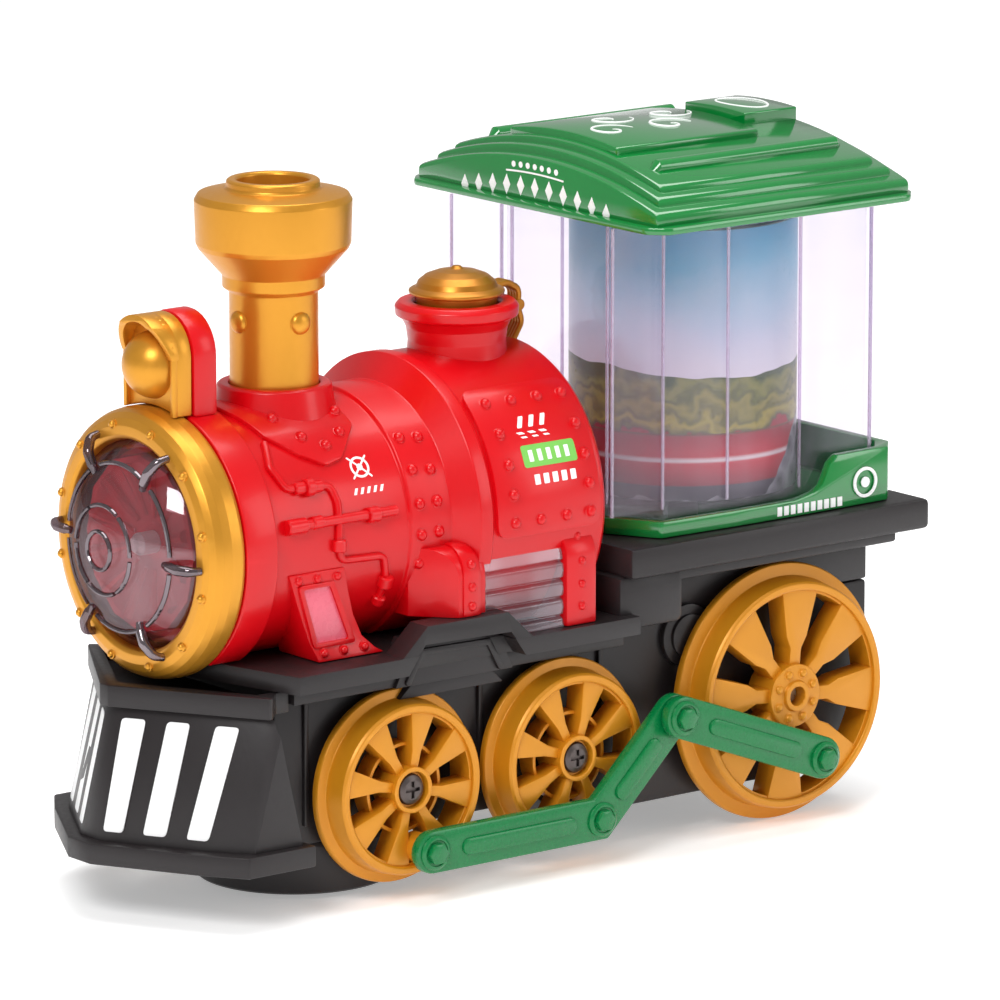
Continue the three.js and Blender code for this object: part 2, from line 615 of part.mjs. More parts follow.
function fillerCap() {
  const profile = [[0, 120.9], [8.6, 120.9], [8.95, 121.4], [8.95, 123.8], [10.5, 123.8], [10.5, 124.6],
    [9, 125.6], [7.6, 127.8], [4.6, 129.6], [1.2, 130.3], [0.9, 131], [0, 131]];
  const cap = turned("z", profile, 24, DOME_X, 0, 0);
  const arm = box(10.6, CAP_HINGE.x + 0.5, -2.2, 2.2, 123.9, 124.8);
  const drop = box(CAP_HINGE.x - 0.5, CAP_HINGE.x + 0.5, -2.2, 2.2, CAP_HINGE.z, 124.8);
  const knuckle = disc("y", 1.2, -2.2, 2.2, 16, CAP_HINGE.x, 0, CAP_HINGE.z);
  return join(cap, arm, drop, knuckle);
}

place("filler_collar", fillerCollar(), RED);
place("filler_cap", fillerCap(), GOLD);

// ---------------------------------------------------------------- mist unit and sound, inside
place("water_tank", cut(box(-9, 11, -14, 14, 93, 108.4), box(-7, 9, -12, 12, 95, 112)), CLEAR);
place("mist_unit", disc("z", 8, 84, 95.6, 24, CHIMNEY_X, 0, 0), WHITE);
place("circuit_board", box(-66, -10, -16, 16, 66.4, 68), BOARD);
place("speaker", turned("z", [[0, 68.5], [6, 68.5], [12, 75], [12, 78], [0, 78]], 24, -20, 0, 0), BLACK);

// ---------------------------------------------------------------- cab
const CAB_HALF = [[29.6, -17.5], [36, -29.4], [98.4, -29.4], [102, -25]];

function grown(points, amount) {
  return points.map(([x, y]) => {
    const along_ = x < CAB_X ? -amount : amount;
    return [x + along_, y - amount];
  });
}

function cabBase() {
  const low = plan(mirrored(grown(CAB_HALF, 2.4)), PLATFORM.top + GAP, 73.8);
  const rise = [[76, 73], [84, 74.4], [89, 81.6], [92, 82.6], [104.6, 82.6], [104.6, 73]];
  const high = side(rise, -40, 40).intersect(plan(mirrored(grown(CAB_HALF, 2.4)), 72, 90));
  const well = plan(mirrored(grown(CAB_HALF, GAP)), 72.6, 95);
  const spindleHole = disc("z", 3.6, 60, 80, 20, CAB_X, 0, 0);
  return cut(join(low, high), well, spindleHole);
}

function cabCase() {
  const outside = plan(mirrored(CAB_HALF), 72.9, ROOF_EAVE - GAP);
  const inside = plan(mirrored(grown(CAB_HALF, -1.4)), 70, 150);
  return cut(outside, inside);
}

function filmDrum() {
  const { r, low, top } = DRUM;
  const profile = [[3.06, low], [r, low], [r, top], [r - 1, top], [r - 1, low + 1.6], [6, low + 1.6],
    [6, top - 3], [3.06, top - 3], [3.06, low]];
  return turned("z", profile, 30, CAB_X, 0, 0);
}

place("cab_base", cabBase(), GREEN);
place("cab_case", cabCase(), CLEAR);
place("film_drum", filmDrum(), FILM);
place("drum_spindle", turned("z", [[0, 66.5], [3.3, 66.5], [3.3, 73], [3, 73.6], [3, DRUM.top - 2], [0, DRUM.top - 2]],
  20, CAB_X, 0, 0), WHITE);
place("drum_motor", disc("z", 8, 52.5, 65.6, 20, CAB_X, 0, 0), STEEL);

// The roof is a stepped barrel vault: each layer is smaller and higher than the one below it.
function vault(x0, x1, half, springing, crown) {
  const rise = crown - springing;
  const r = (half * half + rise * rise) / (2 * rise);
  const spread = THREE.MathUtils.radToDeg(Math.asin(half / r));
  return front(arc(0, crown - r, r, 90 + spread, 90 - spread, 16).reverse(), x0, x1);
}

function cabRoof() {
  const eave = plan([[20.8, -37], [24, -41], [95, -41], [98.4, -37], [98.4, 37], [95, 41], [24, 41],
    [20.8, 37]], ROOF_EAVE, ROOF_EAVE + 1.8);
  const layers = [
    vault(22.4, 96.6, 38.6, ROOF_EAVE + 1, 155.4),
    vault(26, 93.5, 36, ROOF_EAVE + 3, 157.6),
    vault(29, 90.5, 33, ROOF_EAVE + 5, 159.6),
  ];
  const panel = vault(31, 72, 19, 150, 161.2);
  const block = vault(75, 91, 10.5, 150, 163);
  const hollow = vault(33, 94, 26, ROOF_EAVE - 2, 153);
  return cut(join(eave, ...layers, panel, block), hollow);
}

place("cab_roof", cabRoof(), GREEN);

export default train;
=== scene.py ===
# Looks of the battery toy steam locomotive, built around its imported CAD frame.
# Shapes are worked out in millimetres with the nose towards -X and the near side towards -Y,
# then moved to the row frame in metres. Far pieces are mirror images of near ones.
import json
import math

import bmesh
import bpy
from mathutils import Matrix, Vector


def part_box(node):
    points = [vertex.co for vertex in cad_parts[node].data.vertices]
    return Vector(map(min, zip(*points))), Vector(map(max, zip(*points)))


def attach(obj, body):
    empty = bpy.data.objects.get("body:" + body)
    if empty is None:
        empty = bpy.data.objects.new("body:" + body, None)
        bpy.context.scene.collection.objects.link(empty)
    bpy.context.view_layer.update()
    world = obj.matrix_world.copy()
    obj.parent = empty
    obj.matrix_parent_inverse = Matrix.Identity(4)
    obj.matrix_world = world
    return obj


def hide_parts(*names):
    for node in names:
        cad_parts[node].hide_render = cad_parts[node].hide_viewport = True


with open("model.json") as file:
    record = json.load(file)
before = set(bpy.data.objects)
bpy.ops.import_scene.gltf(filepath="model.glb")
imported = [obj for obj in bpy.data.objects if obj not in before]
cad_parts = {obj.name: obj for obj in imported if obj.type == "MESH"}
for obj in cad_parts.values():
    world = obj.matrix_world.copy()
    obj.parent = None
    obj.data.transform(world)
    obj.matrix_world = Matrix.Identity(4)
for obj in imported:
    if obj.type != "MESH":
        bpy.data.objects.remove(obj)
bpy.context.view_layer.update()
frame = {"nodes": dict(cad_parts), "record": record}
MM = 0.001

# ------------------------------------------------------------------ places taken from the frame
def box_mm(node):
    low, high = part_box(node)
    return low / MM, high / MM


def middle(node):
    low, high = box_mm(node)
    return (low + high) / 2


SHIFT = middle("rear_axle").x - 70.6
BIG_X, BIG_Z = middle("rear_axle").x - SHIFT, middle("rear_axle").z
LEAD_X = middle("lead_wheel_screw_near").x - SHIFT
MID_X = middle("mid_wheel_screw_near").x - SHIFT
SMALL_Z = middle("mid_wheel_screw_near").z
BOILER_Z = middle("bezel_ring").z
CHIMNEY_X = middle("chimney").x - SHIFT
DOME_X = middle("filler_collar").x - SHIFT
DRUM_X = middle("film_drum").x - SHIFT
TURN_X = middle("turntable_skirt").x - SHIFT
CHIMNEY_TOP = box_mm("chimney")[1].z
EAVE_Z = box_mm("cab_roof")[0].z

CRANK = Vector((2.2, -13.4))
ELBOW = Vector((10.5, 11.3))
KNEE = Vector((31.6, 31.7))
LEAD_PIN = Vector((LEAD_X, SMALL_Z)) + CRANK
BIG_PIN = Vector((BIG_X, BIG_Z)) + CRANK

# ------------------------------------------------------------------ camera, first of all
AZIMUTH, ELEVATION = math.radians(-38.55), math.radians(12.09)
DISTANCE, LENS, SENSOR = 1.7768, 286.87, 36
AIM = Vector((0.00997, 0.0, 0.07643))


def make_camera():
    camera = bpy.data.objects.new("camera", bpy.data.cameras.new("camera"))
    bpy.context.scene.collection.objects.link(camera)
    back = Vector((
        math.sin(AZIMUTH) * math.cos(ELEVATION),
        -math.cos(AZIMUTH) * math.cos(ELEVATION),
        math.sin(ELEVATION),
    ))
    camera.location = AIM + back * DISTANCE
    camera.rotation_mode = "QUATERNION"
    camera.rotation_quaternion = (-back).to_track_quat("-Z", "Y")
    camera.data.sensor_width = SENSOR
    camera.data.lens = LENS
    camera.data.clip_start, camera.data.clip_end = 0.1, 20
    bpy.context.scene.camera = camera


make_camera()

# ------------------------------------------------------------------ outlines, all in millimetres
def rounded(points, radius, steps=3, closed=True):
    """The outline with every corner rounded by a short curve."""
    made = []
    count = len(points)
    for i, point in enumerate(points):
        corner = Vector(point)
        if not closed and i in (0, count - 1):
            made.append(tuple(corner))
            continue
        before = Vector(points[i - 1]) - corner
        after = Vector(points[(i + 1) % count]) - corner
        half = before.angle(after, math.pi) / 2
        if radius <= 0 or half > 1.5:
            made.append(tuple(corner))
            continue
        reach = min(radius / math.tan(half), 0.45 * before.length, 0.45 * after.length)
        start = corner + before.normalized() * reach
        end = corner + after.normalized() * reach
        for k in range(steps + 1):
            t = k / steps
            made.append(tuple(start * (1 - t) ** 2 + corner * 2 * t * (1 - t) + end * t * t))
    return made


def arc(a, b, radius, start, end, steps):
    made = []
    for i in range(steps + 1):
        angle = math.radians(start + (end - start) * i / steps)
        made.append((a + radius * math.cos(angle), b + radius * math.sin(angle)))
    return made


def rectangle(a0, a1, b0, b1):
    return [(a0, b0), (a1, b0), (a1, b1), (a0, b1)]


def stroke(points, half, steps=8):
    """The outline of a round-ended bar that follows a bent line."""
    points = [Vector(p) for p in points]
    left, right = [], []
    for i in range(1, len(points) - 1):
        along_in = (points[i] - points[i - 1]).normalized()
        along_out = (points[i + 1] - points[i]).normalized()
        normal_in, normal_out = Vector((-along_in.y, along_in.x)), Vector((-along_out.y, along_out.x))
        miter = (normal_in + normal_out).normalized()
        offset = miter * (half / miter.dot(normal_in))
        left.append(tuple(points[i] + offset))
        right.append(tuple(points[i] - offset))
    first, last = points[1] - points[0], points[-1] - points[-2]
    heading_first = math.degrees(math.atan2(first.y, first.x))
    heading_last = math.degrees(math.atan2(last.y, last.x))
    start_cap = arc(points[0].x, points[0].y, half, heading_first + 90, heading_first + 270, steps)
    end_cap = arc(points[-1].x, points[-1].y, half, heading_last - 90, heading_last + 90, steps)
    return start_cap + right + end_cap + left[::-1]


def circle(a, b, radius, steps=24):
    return arc(a, b, radius, 0, 360 - 360 / steps, steps - 1)


def hoop(a, b, outer, inner, count, overlap):
    """Outlines that make up a flat ring; each reaches a little under the next."""
    step = 360 / count
    for k in range(count):
        start, end = k * step, (k + 1) * step + overlap
        yield arc(a, b, outer, start, end, 2) + arc(a, b, inner, end, start, 2)


def mirrored(points):
    """A half outline of (x, y) points on the near side, made whole."""
    return list(points) + [(x, -y) for x, y in reversed(points)]


# ------------------------------------------------------------------ solids
def merge(target, part, place=None, index=0):
    made = {v: target.verts.new(place(v.co) if place else v.co) for v in part.verts}
    for face in part.faces:
        target.faces.new([made[v] for v in face.verts]).material_index = index
    part.free()


def ring_place(axis, centre):
    cx, cy, cz = centre
    if axis == "x":
        return lambda r, h, c, s: (cx + h, cy - r * s, cz + r * c)
    if axis == "y":
        return lambda r, h, c, s: (cx + r * c, cy + h, cz + r * s)
    return lambda r, h, c, s: (cx + r * c, cy + r * s, cz + h)


def lathe(target, axis, profile, centre=(0, 0, 0), segments=72, round_by=0.0, ring=False):
    """Turns (radius, height) points about an axis. A ring's profile closes on itself."""
    points = rounded(profile, round_by, 3, closed=ring) if round_by else profile
    place = ring_place(axis, centre)
    part = bmesh.new()
    columns = []
    poles = {}
    for k in range(segments):
        angle = 2 * math.pi * k / segments
        column = []
        for i, (r, h) in enumerate(points):
            if r < 1e-6:
                if i not in poles:
                    poles[i] = part.verts.new(place(0, h, 1, 0))
                column.append(poles[i])
            else:
                column.append(part.verts.new(place(r, h, math.cos(angle), math.sin(angle))))
        columns.append(column)
    spans = len(points) if ring else len(points) - 1
    for k in range(segments):
        here, there = columns[k], columns[(k + 1) % segments]
        for i in range(spans):
            j = (i + 1) % len(points)
            corners = [here[i], here[j], there[j], there[i]]
            corners = [v for n, v in enumerate(corners) if v not in corners[:n]]
            if len(corners) > 2:
                part.faces.new(corners)
    merge(target, part)


def ease(part, width, limit=25):
    """Rounds the sharp edges of a solid."""
    part.normal_update()
    sharp = [e for e in part.edges if len(e.link_faces) == 2
             and e.calc_face_angle(0) > math.radians(limit)]
    bmesh.ops.bevel(part, geom=sharp, offset=width, segments=2, profile=0.5,
                    affect="EDGES", clamp_overlap=True)


def skin(rows, bevel):
    """A closed skin through rows of points; the first and last rows are capped."""
    part = bmesh.new()
    made = [[part.verts.new(p) for p in row] for row in rows]
    part.faces.new(made[0][::-1])
    part.faces.new(made[-1])
    count = len(rows[0])
    for lower, upper in zip(made, made[1:]):
        for i in range(count):
            j = (i + 1) % count
            part.faces.new([lower[i], lower[j], upper[j], upper[i]])
    bmesh.ops.recalc_face_normals(part, faces=part.faces)
    if bevel > 0:
        ease(part, bevel)
    return part


def block(outline, low, high, bevel=0.4):
    """An outline raised from low to high, with its edges rounded."""
    return skin([[(a, b, height) for a, b in outline] for height in (low, high)], bevel)


def facing_y(v):
    """Outline drawn in (x, z), raised along Y."""
    return (v.x, v.z, v.y)


def facing_x(v):
    """Outline drawn in (y, z), raised along X."""
    return (v.z, v.x, v.y)


def plan(target, outline, low, high, bevel=0.4):
    merge(target, block(outline, low, high, bevel))


def side(target, outline, y0, y1, bevel=0.4):
    merge(target, block(outline, y0, y1, bevel), facing_y)


def front(target, outline, x0, x1, bevel=0.4):
    merge(target, block(outline, x0, x1, bevel), facing_x)


def slab(target, x0, x1, y0, y1, z0, z1, bevel=0.4):
    plan(target, rectangle(x0, x1, y0, y1), z0, z1, bevel)


def loft(target, rows, bevel):
    merge(target, skin(rows, bevel))


def pin(target, axis, radius, low, high, centre, segments, round_by=0.0):
    """A plain round bar."""
    lathe(target, axis, [(0, low), (radius, low), (radius, high), (0, high)], centre, segments, round_by)


def solid(draw, *measures, **more):
    """A new solid made with one of the drawing functions."""
    part = bmesh.new()
    draw(part, *measures, **more)
    return part


def span(sign, inner, outer):
    """The lower and upper y of something that runs from inner to outer on one side."""
    return sorted((sign * inner, sign * outer))


def tube(target, path, radius, segments=12):
    """A round bar along a line of points, closed at both ends."""
    path = [Vector(p) for p in path]
    radii = radius if isinstance(radius, (list, tuple)) else [radius] * len(path)
    part = bmesh.new()
    tangent = (path[1] - path[0]).normalized()
    across = tangent.orthogonal().normalized()
    rings = []
    for i, point in enumerate(path):
        ahead = path[min(i + 1, len(path) - 1)] - path[max(i - 1, 0)]
        tangent = ahead.normalized()
        across = (across - tangent * across.dot(tangent)).normalized()
        up = tangent.cross(across)
        rings.append([
            part.verts.new(point + (across * math.cos(a) + up * math.sin(a)) * radii[i])
            for a in (2 * math.pi * k / segments for k in range(segments))
        ])
    for here, there in zip(rings, rings[1:]):
        for k in range(segments):
            n = (k + 1) % segments
            part.faces.new([here[k], here[n], there[n], there[k]])
    part.faces.new(rings[0][::-1])
    part.faces.new(rings[-1])
    merge(target, part)


def dome(target, point, normal, radius, height, segments=20, foot=0.25):
    """A rivet: a low dome with a small rim at its foot."""
    local = bmesh.new()
    profile = [(radius + foot, -0.6), (radius + foot, 0.08), (radius, 0.16)]
    profile += [(radius * math.cos(a), 0.16 + height * math.sin(a))
                for a in (math.pi / 2 * k / 5 for k in range(1, 5))]
    profile += [(0, 0.16 + height)]
    lathe(local, "z", [(0, -0.6)] + profile, segments=segments)
    turn = Vector(normal).normalized().to_track_quat("Z", "Y")
    origin = Vector(point)
    merge(target, local, lambda co: origin + turn @ co)


def boolean(target, tools, operation="DIFFERENCE"):
    """The target with other solids cut from it or joined to it."""
    objects = []
    for part in [target, *tools]:
        bmesh.ops.recalc_face_normals(part, faces=part.faces)
        mesh = bpy.data.meshes.new("working")
        part.to_mesh(mesh)
        part.free()
        objects.append(bpy.data.objects.new("working", mesh))
        bpy.context.scene.collection.objects.link(objects[-1])
    for tool in objects[1:]:
        step = objects[0].modifiers.new("step", "BOOLEAN")
        step.operation = operation
        step.solver = "EXACT"
        step.object = tool
    bpy.context.view_layer.update()
    shaped = objects[0].evaluated_get(bpy.context.evaluated_depsgraph_get())
    result = bmesh.new()
    result.from_mesh(shaped.data)
    for made in objects:
        mesh = made.data
        bpy.data.objects.remove(made)
        bpy.data.meshes.remove(mesh)
    return result


def soften(part, width, limit=30):
    """Rounds the sharp edges of a solid that comes out of a boolean."""
    bmesh.ops.remove_doubles(part, verts=part.verts, dist=1e-3)
    ease(part, width, limit)
    return part


# ------------------------------------------------------------------ shapes laid round the boiler
def on_boiler(x, degrees, radius):
    """A point on the boiler; the angle runs from the top towards the near side."""
    a = math.radians(degrees)
    return Vector((x, -radius * math.sin(a), BOILER_Z + radius * math.cos(a)))


def outward(degrees):
    a = math.radians(degrees)
    return Vector((0, -math.sin(a), math.cos(a)))


def plate_on_boiler(target, outline, radius, thickness, round_by=0.0, bevel=0.3, index=0, sunk=0.5):
    """A plate outlined in (x, degrees), bent round the boiler."""
    scale = math.radians(1) * radius
    flat = [(x, d * scale) for x, d in outline]
    if round_by:
        flat = rounded(flat, round_by, 5)
    part = block(flat, -sunk, thickness, bevel)
    low, high = min(v.co.y for v in part.verts), max(v.co.y for v in part.verts)
    step = scale * 4
    for k in range(1, int((high - low) / step) + 1):
        geometry = part.verts[:] + part.edges[:] + part.faces[:]
        bmesh.ops.bisect_plane(part, geom=geometry, plane_co=(0, low + k * step, 0), plane_no=(0, 1, 0))

    def bend(co):
        return on_boiler(co.x, co.y / scale, radius + co.z)

    merge(target, part, bend, index)


def sided(places, sign):
    """Boiler places (x, degrees) on the near side (1) or the far side (-1)."""
    return [(x, sign * degrees) for x, degrees in places]


def pipe_on_boiler(target, stops, radius, thick):
    scale = math.radians(1) * radius
    flat = rounded([(x, d * scale) for x, d in stops], 2.2, 5, closed=False)
    path = []
    for (x0, v0), (x1, v1) in zip(flat, flat[1:]):
        parts = max(1, int(math.hypot(x1 - x0, v1 - v0) / 1.2))
        for k in range(parts):
            t = k / parts
            path.append(on_boiler(x0 + (x1 - x0) * t, (v0 + (v1 - v0) * t) / scale, radius + 0.35 * thick))
    path.append(on_boiler(flat[-1][0], flat[-1][1] / scale, radius + 0.35 * thick))
    tube(target, path, thick)


def nut_on_boiler(target, x, degrees, radius, thick, length, along_x):
    centre = on_boiler(x, degrees, radius + 0.35 * thick)
    a = math.radians(degrees)
    direction = Vector((1, 0, 0)) if along_x else Vector((0, -math.cos(a), -math.sin(a)))
    reach = direction * length / 2
    ease = direction * 0.25
    tube(target, [centre - reach - ease, centre - reach, centre + reach, centre + reach + ease],
         [thick - 0.3, thick, thick, thick - 0.3], 16)


def rivets_on_boiler(target, places, radius, size=1.25):
    for x, degrees in places:
        dome(target, on_boiler(x, degrees, radius), outward(degrees), size, 1.1)


# ------------------------------------------------------------------ materials
def join(material, value, socket):
    """Links one socket to another, or gives it a number or a colour."""
    if isinstance(value, bpy.types.NodeSocket):
        material.node_tree.links.new(value, socket)
    else:
        socket.default_value = value


def add(material, kind, **values):
    """A new node with its inputs filled in; underscores stand for spaces in their names."""
    node = material.node_tree.nodes.new("ShaderNode" + kind)
    for name, value in values.items():
        join(material, value, node.inputs[name.replace("_", " ")])
    return node


def shade(name, colour, rough, *, metal=0.0, coat=0.0, grain=0.05, edge_highlight=0.12, hollow_shade=0.12, spot=900.0,
          spread=0.03, gloss=0.5):
    """A moulded surface: slow colour drift, fine grain, painted highlights on sharp edges and painted shade
    in hollows, all from nodes.
    """
    material = bpy.data.materials.new(name)
    material.use_nodes = True
    place = add(material, "TexCoord").outputs["Object"]
    drift = add(material, "TexNoise", Vector=place, Scale=38, Detail=4).outputs["Fac"]
    fine = add(material, "TexNoise", Vector=place, Scale=spot, Detail=3).outputs["Fac"]
    base = mix_colour(material, drift, shift(colour, 0.9), shift(colour, 1.08))
    edges = add(material, "NewGeometry").outputs["Pointiness"]
    # Painted highlight: sharp edges, found by pointiness, are lightened towards a paler copy of the colour.
    edge_highlight_mask = remap(material, edges, 0.54, 0.64, 0.0, edge_highlight)
    # Painted shade: hollows, found by pointiness, are darkened towards a copy of the colour at 45 per cent.
    hollow_shade_mask = remap(material, edges, 0.34, 0.45, hollow_shade, 0.0)
    edge_lit_colour = mix_colour(material, edge_highlight_mask, base, shift(colour, 1.7, 0.04))
    bump = add(material, "Bump", Strength=grain, Distance=0.0004, Height=fine)
    looks = {
        "Base Color": mix_colour(material, hollow_shade_mask, edge_lit_colour, shift(colour, 0.45)),
        "Roughness": remap(material, fine, 0.3, 0.7, rough - spread, rough + spread),
        "Normal": bump.outputs["Normal"], "Metallic": metal, "Specular IOR Level": gloss,
        "Coat Weight": coat, "Coat Roughness": 0.12,
    }
    for socket, value in looks.items():
        join(material, value, material.node_tree.nodes["Principled BSDF"].inputs[socket])
    return material


def linear(colour):
    """A colour given as it looks on screen, 0 to 255, as scene light."""
    return tuple((c / 255) ** 2.2 for c in colour)


def shift(colour, factor, lift=0.0):
    return tuple(min(1.0, c * factor + lift) for c in linear(colour)) + (1.0,)


def mix_colour(material, factor, first, second):
    node = add(material, "Mix")
    node.data_type = "RGBA"
    for socket, value in ((0, factor), (6, first), (7, second)):
        join(material, value, node.inputs[socket])
    return node.outputs[2]


def remap(material, value, from_low, from_high, to_low, to_high):
    return add(material, "MapRange", Value=value, From_Min=from_low, From_Max=from_high,
               To_Min=to_low, To_Max=to_high).outputs["Result"]


def see_through(name, tint, body_colour, solid_low, solid_high, rough, metal):
    """Clear moulded plastic: mostly see-through, with a faint mirror-like body that comes and goes in upright
    streaks, which are painted bands of reflected light.
    """
    material = shade(name, body_colour, rough + 0.02, metal=metal, grain=0.02, edge_highlight=0.0, hollow_shade=0.0, spot=260,
                     spread=0.02)
    nodes = material.node_tree.nodes
    window = add(material, "BsdfTransparent", Color=linear(tint) + (1.0,))
    place = add(material, "TexCoord").outputs["Object"]
    # Painted reflection: the noise is stretched upright, so the body shows in vertical bands like reflected
    # studio light.
    stretch = add(material, "Mapping", Vector=place, Scale=(60, 60, 6))
    reflection_streak = add(material, "TexNoise", Vector=stretch.outputs["Vector"], Scale=1.0)
    amount = remap(material, reflection_streak.outputs["Fac"], 0.35, 0.65, solid_low, solid_high)
    blend = add(material, "MixShader")
    for socket, value in enumerate((amount, window.outputs[0], nodes["Principled BSDF"].outputs[0])):
        join(material, value, blend.inputs[socket])
    join(material, blend.outputs[0], nodes["Material Output"].inputs["Surface"])
    return material


RED = shade("red_plastic", (208, 8, 22), 0.3, coat=0.12, hollow_shade=0.05, grain=0.03, spread=0.015, gloss=0.35)
RED_PALE = shade("red_plastic_sunlit", (228, 96, 116), 0.28, coat=0.3)
GOLD = shade("gold_plastic", (212, 146, 48), 0.34, metal=0.62, edge_highlight=0.1, hollow_shade=0.05)
CAP_GOLD = shade("gold_plastic_aged", (184, 120, 38), 0.34, metal=0.6, edge_highlight=0.1, hollow_shade=0.08)
WHEEL_GOLD = shade("wheel_gold_plastic", (208, 136, 30), 0.36, metal=0.25, edge_highlight=0.2, hollow_shade=0.2)
GREEN = shade("green_gloss_plastic", (2, 124, 54), 0.12, coat=1.0, grain=0.015, hollow_shade=0.05)
ROD_GREEN = shade("green_rod_plastic", (8, 116, 62), 0.28, coat=0.2, hollow_shade=0.06, gloss=0.4)
DARK = shade("dark_plastic", (40, 36, 37), 0.4, edge_highlight=0.1, gloss=0.4)
CLEAR = see_through("clear_plastic", (249, 247, 250), (226, 220, 232), 0.02, 0.08, 0.03, 0.7)
# Painted highlight: this milky clear plastic goes on thin rods along the case corners to stand for light
# lines on its edges.
CLEAR_HIGHLIGHT = see_through("clear_plastic_painted_highlight", (226, 216, 232), (240, 234, 244), 0.16, 0.42, 0.05, 0.4)
RIBBED = see_through("clear_ribbed_plastic", (232, 214, 220), (206, 196, 204), 0.2, 0.42, 0.08, 0.5)
SMOKE = see_through("smoke_lens", (226, 214, 217), (214, 202, 208), 0.07, 0.16, 0.02, 0.9)
SMOKE_EDGE = see_through("smoke_lens_edge", (150, 134, 138), (186, 174, 180), 0.2, 0.45, 0.02, 0.9)
REFLECTOR = shade("lamp_reflector", (226, 26, 46), 0.2, metal=0.3)
WHITE = shade("white_plastic", (236, 236, 232), 0.4)
PRINT = shade("white_print", (244, 244, 244), 0.55, edge_highlight=0.0, hollow_shade=0.0)
LABEL = shade("label_green", (120, 196, 84), 0.5, edge_highlight=0.0, hollow_shade=0.0)
STEEL = shade("bright_steel", (150, 148, 146), 0.3, metal=0.9)
DARK_STEEL = shade("blackened_steel", (92, 84, 82), 0.36, metal=0.8)
CELL_SKIN = shade("cell_sleeve", (61, 111, 156), 0.32)
BOARD = shade("board_green", (44, 107, 58), 0.5)
RUBBER = shade("black_rubber", (34, 34, 34), 0.8, grain=0.2)


def noise(material, place, size, detail, low, high):
    """Noise of a chosen grain, stretched so that it runs from low to high."""
    node = add(material, "TexNoise", Vector=place, Scale=size, Detail=detail)
    return remap(material, node.outputs["Fac"], 0.3, 0.7, low, high)


def figure(material, operation, first, second):
    node = add(material, "Math")
    node.operation = operation
    join(material, first, node.inputs[0])
    join(material, second, node.inputs[1])
    return node.outputs[0]


def ramp(material, value, bands):
    node = add(material, "ValToRGB")
    join(material, value, node.inputs[0])
    stops = node.color_ramp.elements
    for position, colour in bands[1:-1]:
        stops.new(position).color = linear(colour) + (1.0,)
    for stop, (position, colour) in ((stops[0], bands[0]), (stops[-1], bands[-1])):
        stop.position, stop.color = position, linear(colour) + (1.0,)
    return node.outputs[0]


SKY = ((0.46, (214, 208, 222)), (0.58, (196, 204, 226)), (0.72, (150, 196, 224)), (0.86, (72, 172, 212)),
       (1.0, (40, 150, 200)))
LAND = ((0.0, (58, 56, 66)), (0.055, (74, 66, 78)), (0.06, (150, 28, 44)), (0.14, (196, 34, 52)),
        (0.15, (232, 226, 226)), (0.165, (190, 30, 50)), (0.24, (150, 24, 42)), (0.25, (84, 80, 50)),
        (0.29, (160, 148, 56)), (0.32, (98, 98, 46)), (0.36, (140, 134, 60)), (0.39, (86, 92, 46)),
        (0.42, (128, 130, 66)), (0.47, (66, 84, 52)))


def picture():
    """The landscape on the drum: sky and cloud, hills, a red train and a heap of coal."""
    material = shade("picture_film", (180, 180, 190), 0.3, edge_highlight=0.0, hollow_shade=0.0, grain=0.02)
    place = add(material, "TexCoord").outputs["Object"]
    split = add(material, "SeparateXYZ", Vector=place)
    low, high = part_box("film_drum")
    height = remap(material, split.outputs["Z"], low.z, high.z, 0.0, 1.0)
    cloudy = figure(material, "ADD", height, noise(material, place, 50.0, 6.0, -0.05, 0.05))
    sky = ramp(material, cloudy, SKY)
    white = noise(material, place, 34.0, 5.0, 0.0, 0.7)
    clouds = figure(material, "MULTIPLY", white, remap(material, height, 0.5, 0.95, 1.0, 0.2))
    sky = mix_colour(material, clouds, sky, shift((236, 234, 242), 1))
    patches = figure(material, "ADD", height, noise(material, place, 170.0, 6.0, -0.05, 0.05))
    flat = figure(material, "GREATER_THAN", height, 0.25)
    field = figure(material, "ADD", figure(material, "MULTIPLY", patches, flat),
                   figure(material, "MULTIPLY", height, figure(material, "SUBTRACT", 1.0, flat)))
    land = ramp(material, field, LAND)
    skyline = noise(material, place, 26.0, 3.0, 0.44, 0.5)
    scene = mix_colour(material, figure(material, "GREATER_THAN", height, skyline), land, sky)
    rocks = add(material, "TexVoronoi", Vector=place, Scale=240)
    coal = mix_colour(material, rocks.outputs["Distance"], shift((30, 28, 36), 1), shift((190, 186, 196), 1))
    side_on = remap(material, split.outputs["X"], 0.066, 0.086, 0.0, 0.4)
    heap = figure(material, "ADD", side_on, noise(material, place, 120.0, 3.0, -0.03, 0.03))
    join(material, mix_colour(material, figure(material, "LESS_THAN", height, heap), scene, coal),
         material.node_tree.nodes["Principled BSDF"].inputs["Base Color"])
    return material


FILM = picture()

# ------------------------------------------------------------------ pieces
BODY_OF = {n: b for b, nodes in frame["record"]["behaviour"]["bodies"].items() for n in nodes}


def piece(name, shape, materials, nodes, body=None, crease=34):
    """Makes the mesh object, puts it on its body and hides the CAD nodes it stands for."""
    bmesh.ops.recalc_face_normals(shape, faces=shape.faces)
    for v in shape.verts:
        v.co = Vector(((v.co.x + SHIFT) * MM, v.co.y * MM, v.co.z * MM))
    mesh = bpy.data.meshes.new(name)
    shape.to_mesh(mesh)
    shape.free()
    for material in materials:
        mesh.materials.append(material)
    mesh.polygons.foreach_set("use_smooth", [True] * len(mesh.polygons))
    mesh.set_sharp_from_angle(angle=math.radians(crease))
    made = bpy.data.objects.new(name, mesh)
    bpy.context.scene.collection.objects.link(made)
    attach(made, body or BODY_OF[nodes[0]])
    if nodes:
        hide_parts(*nodes)
    return made


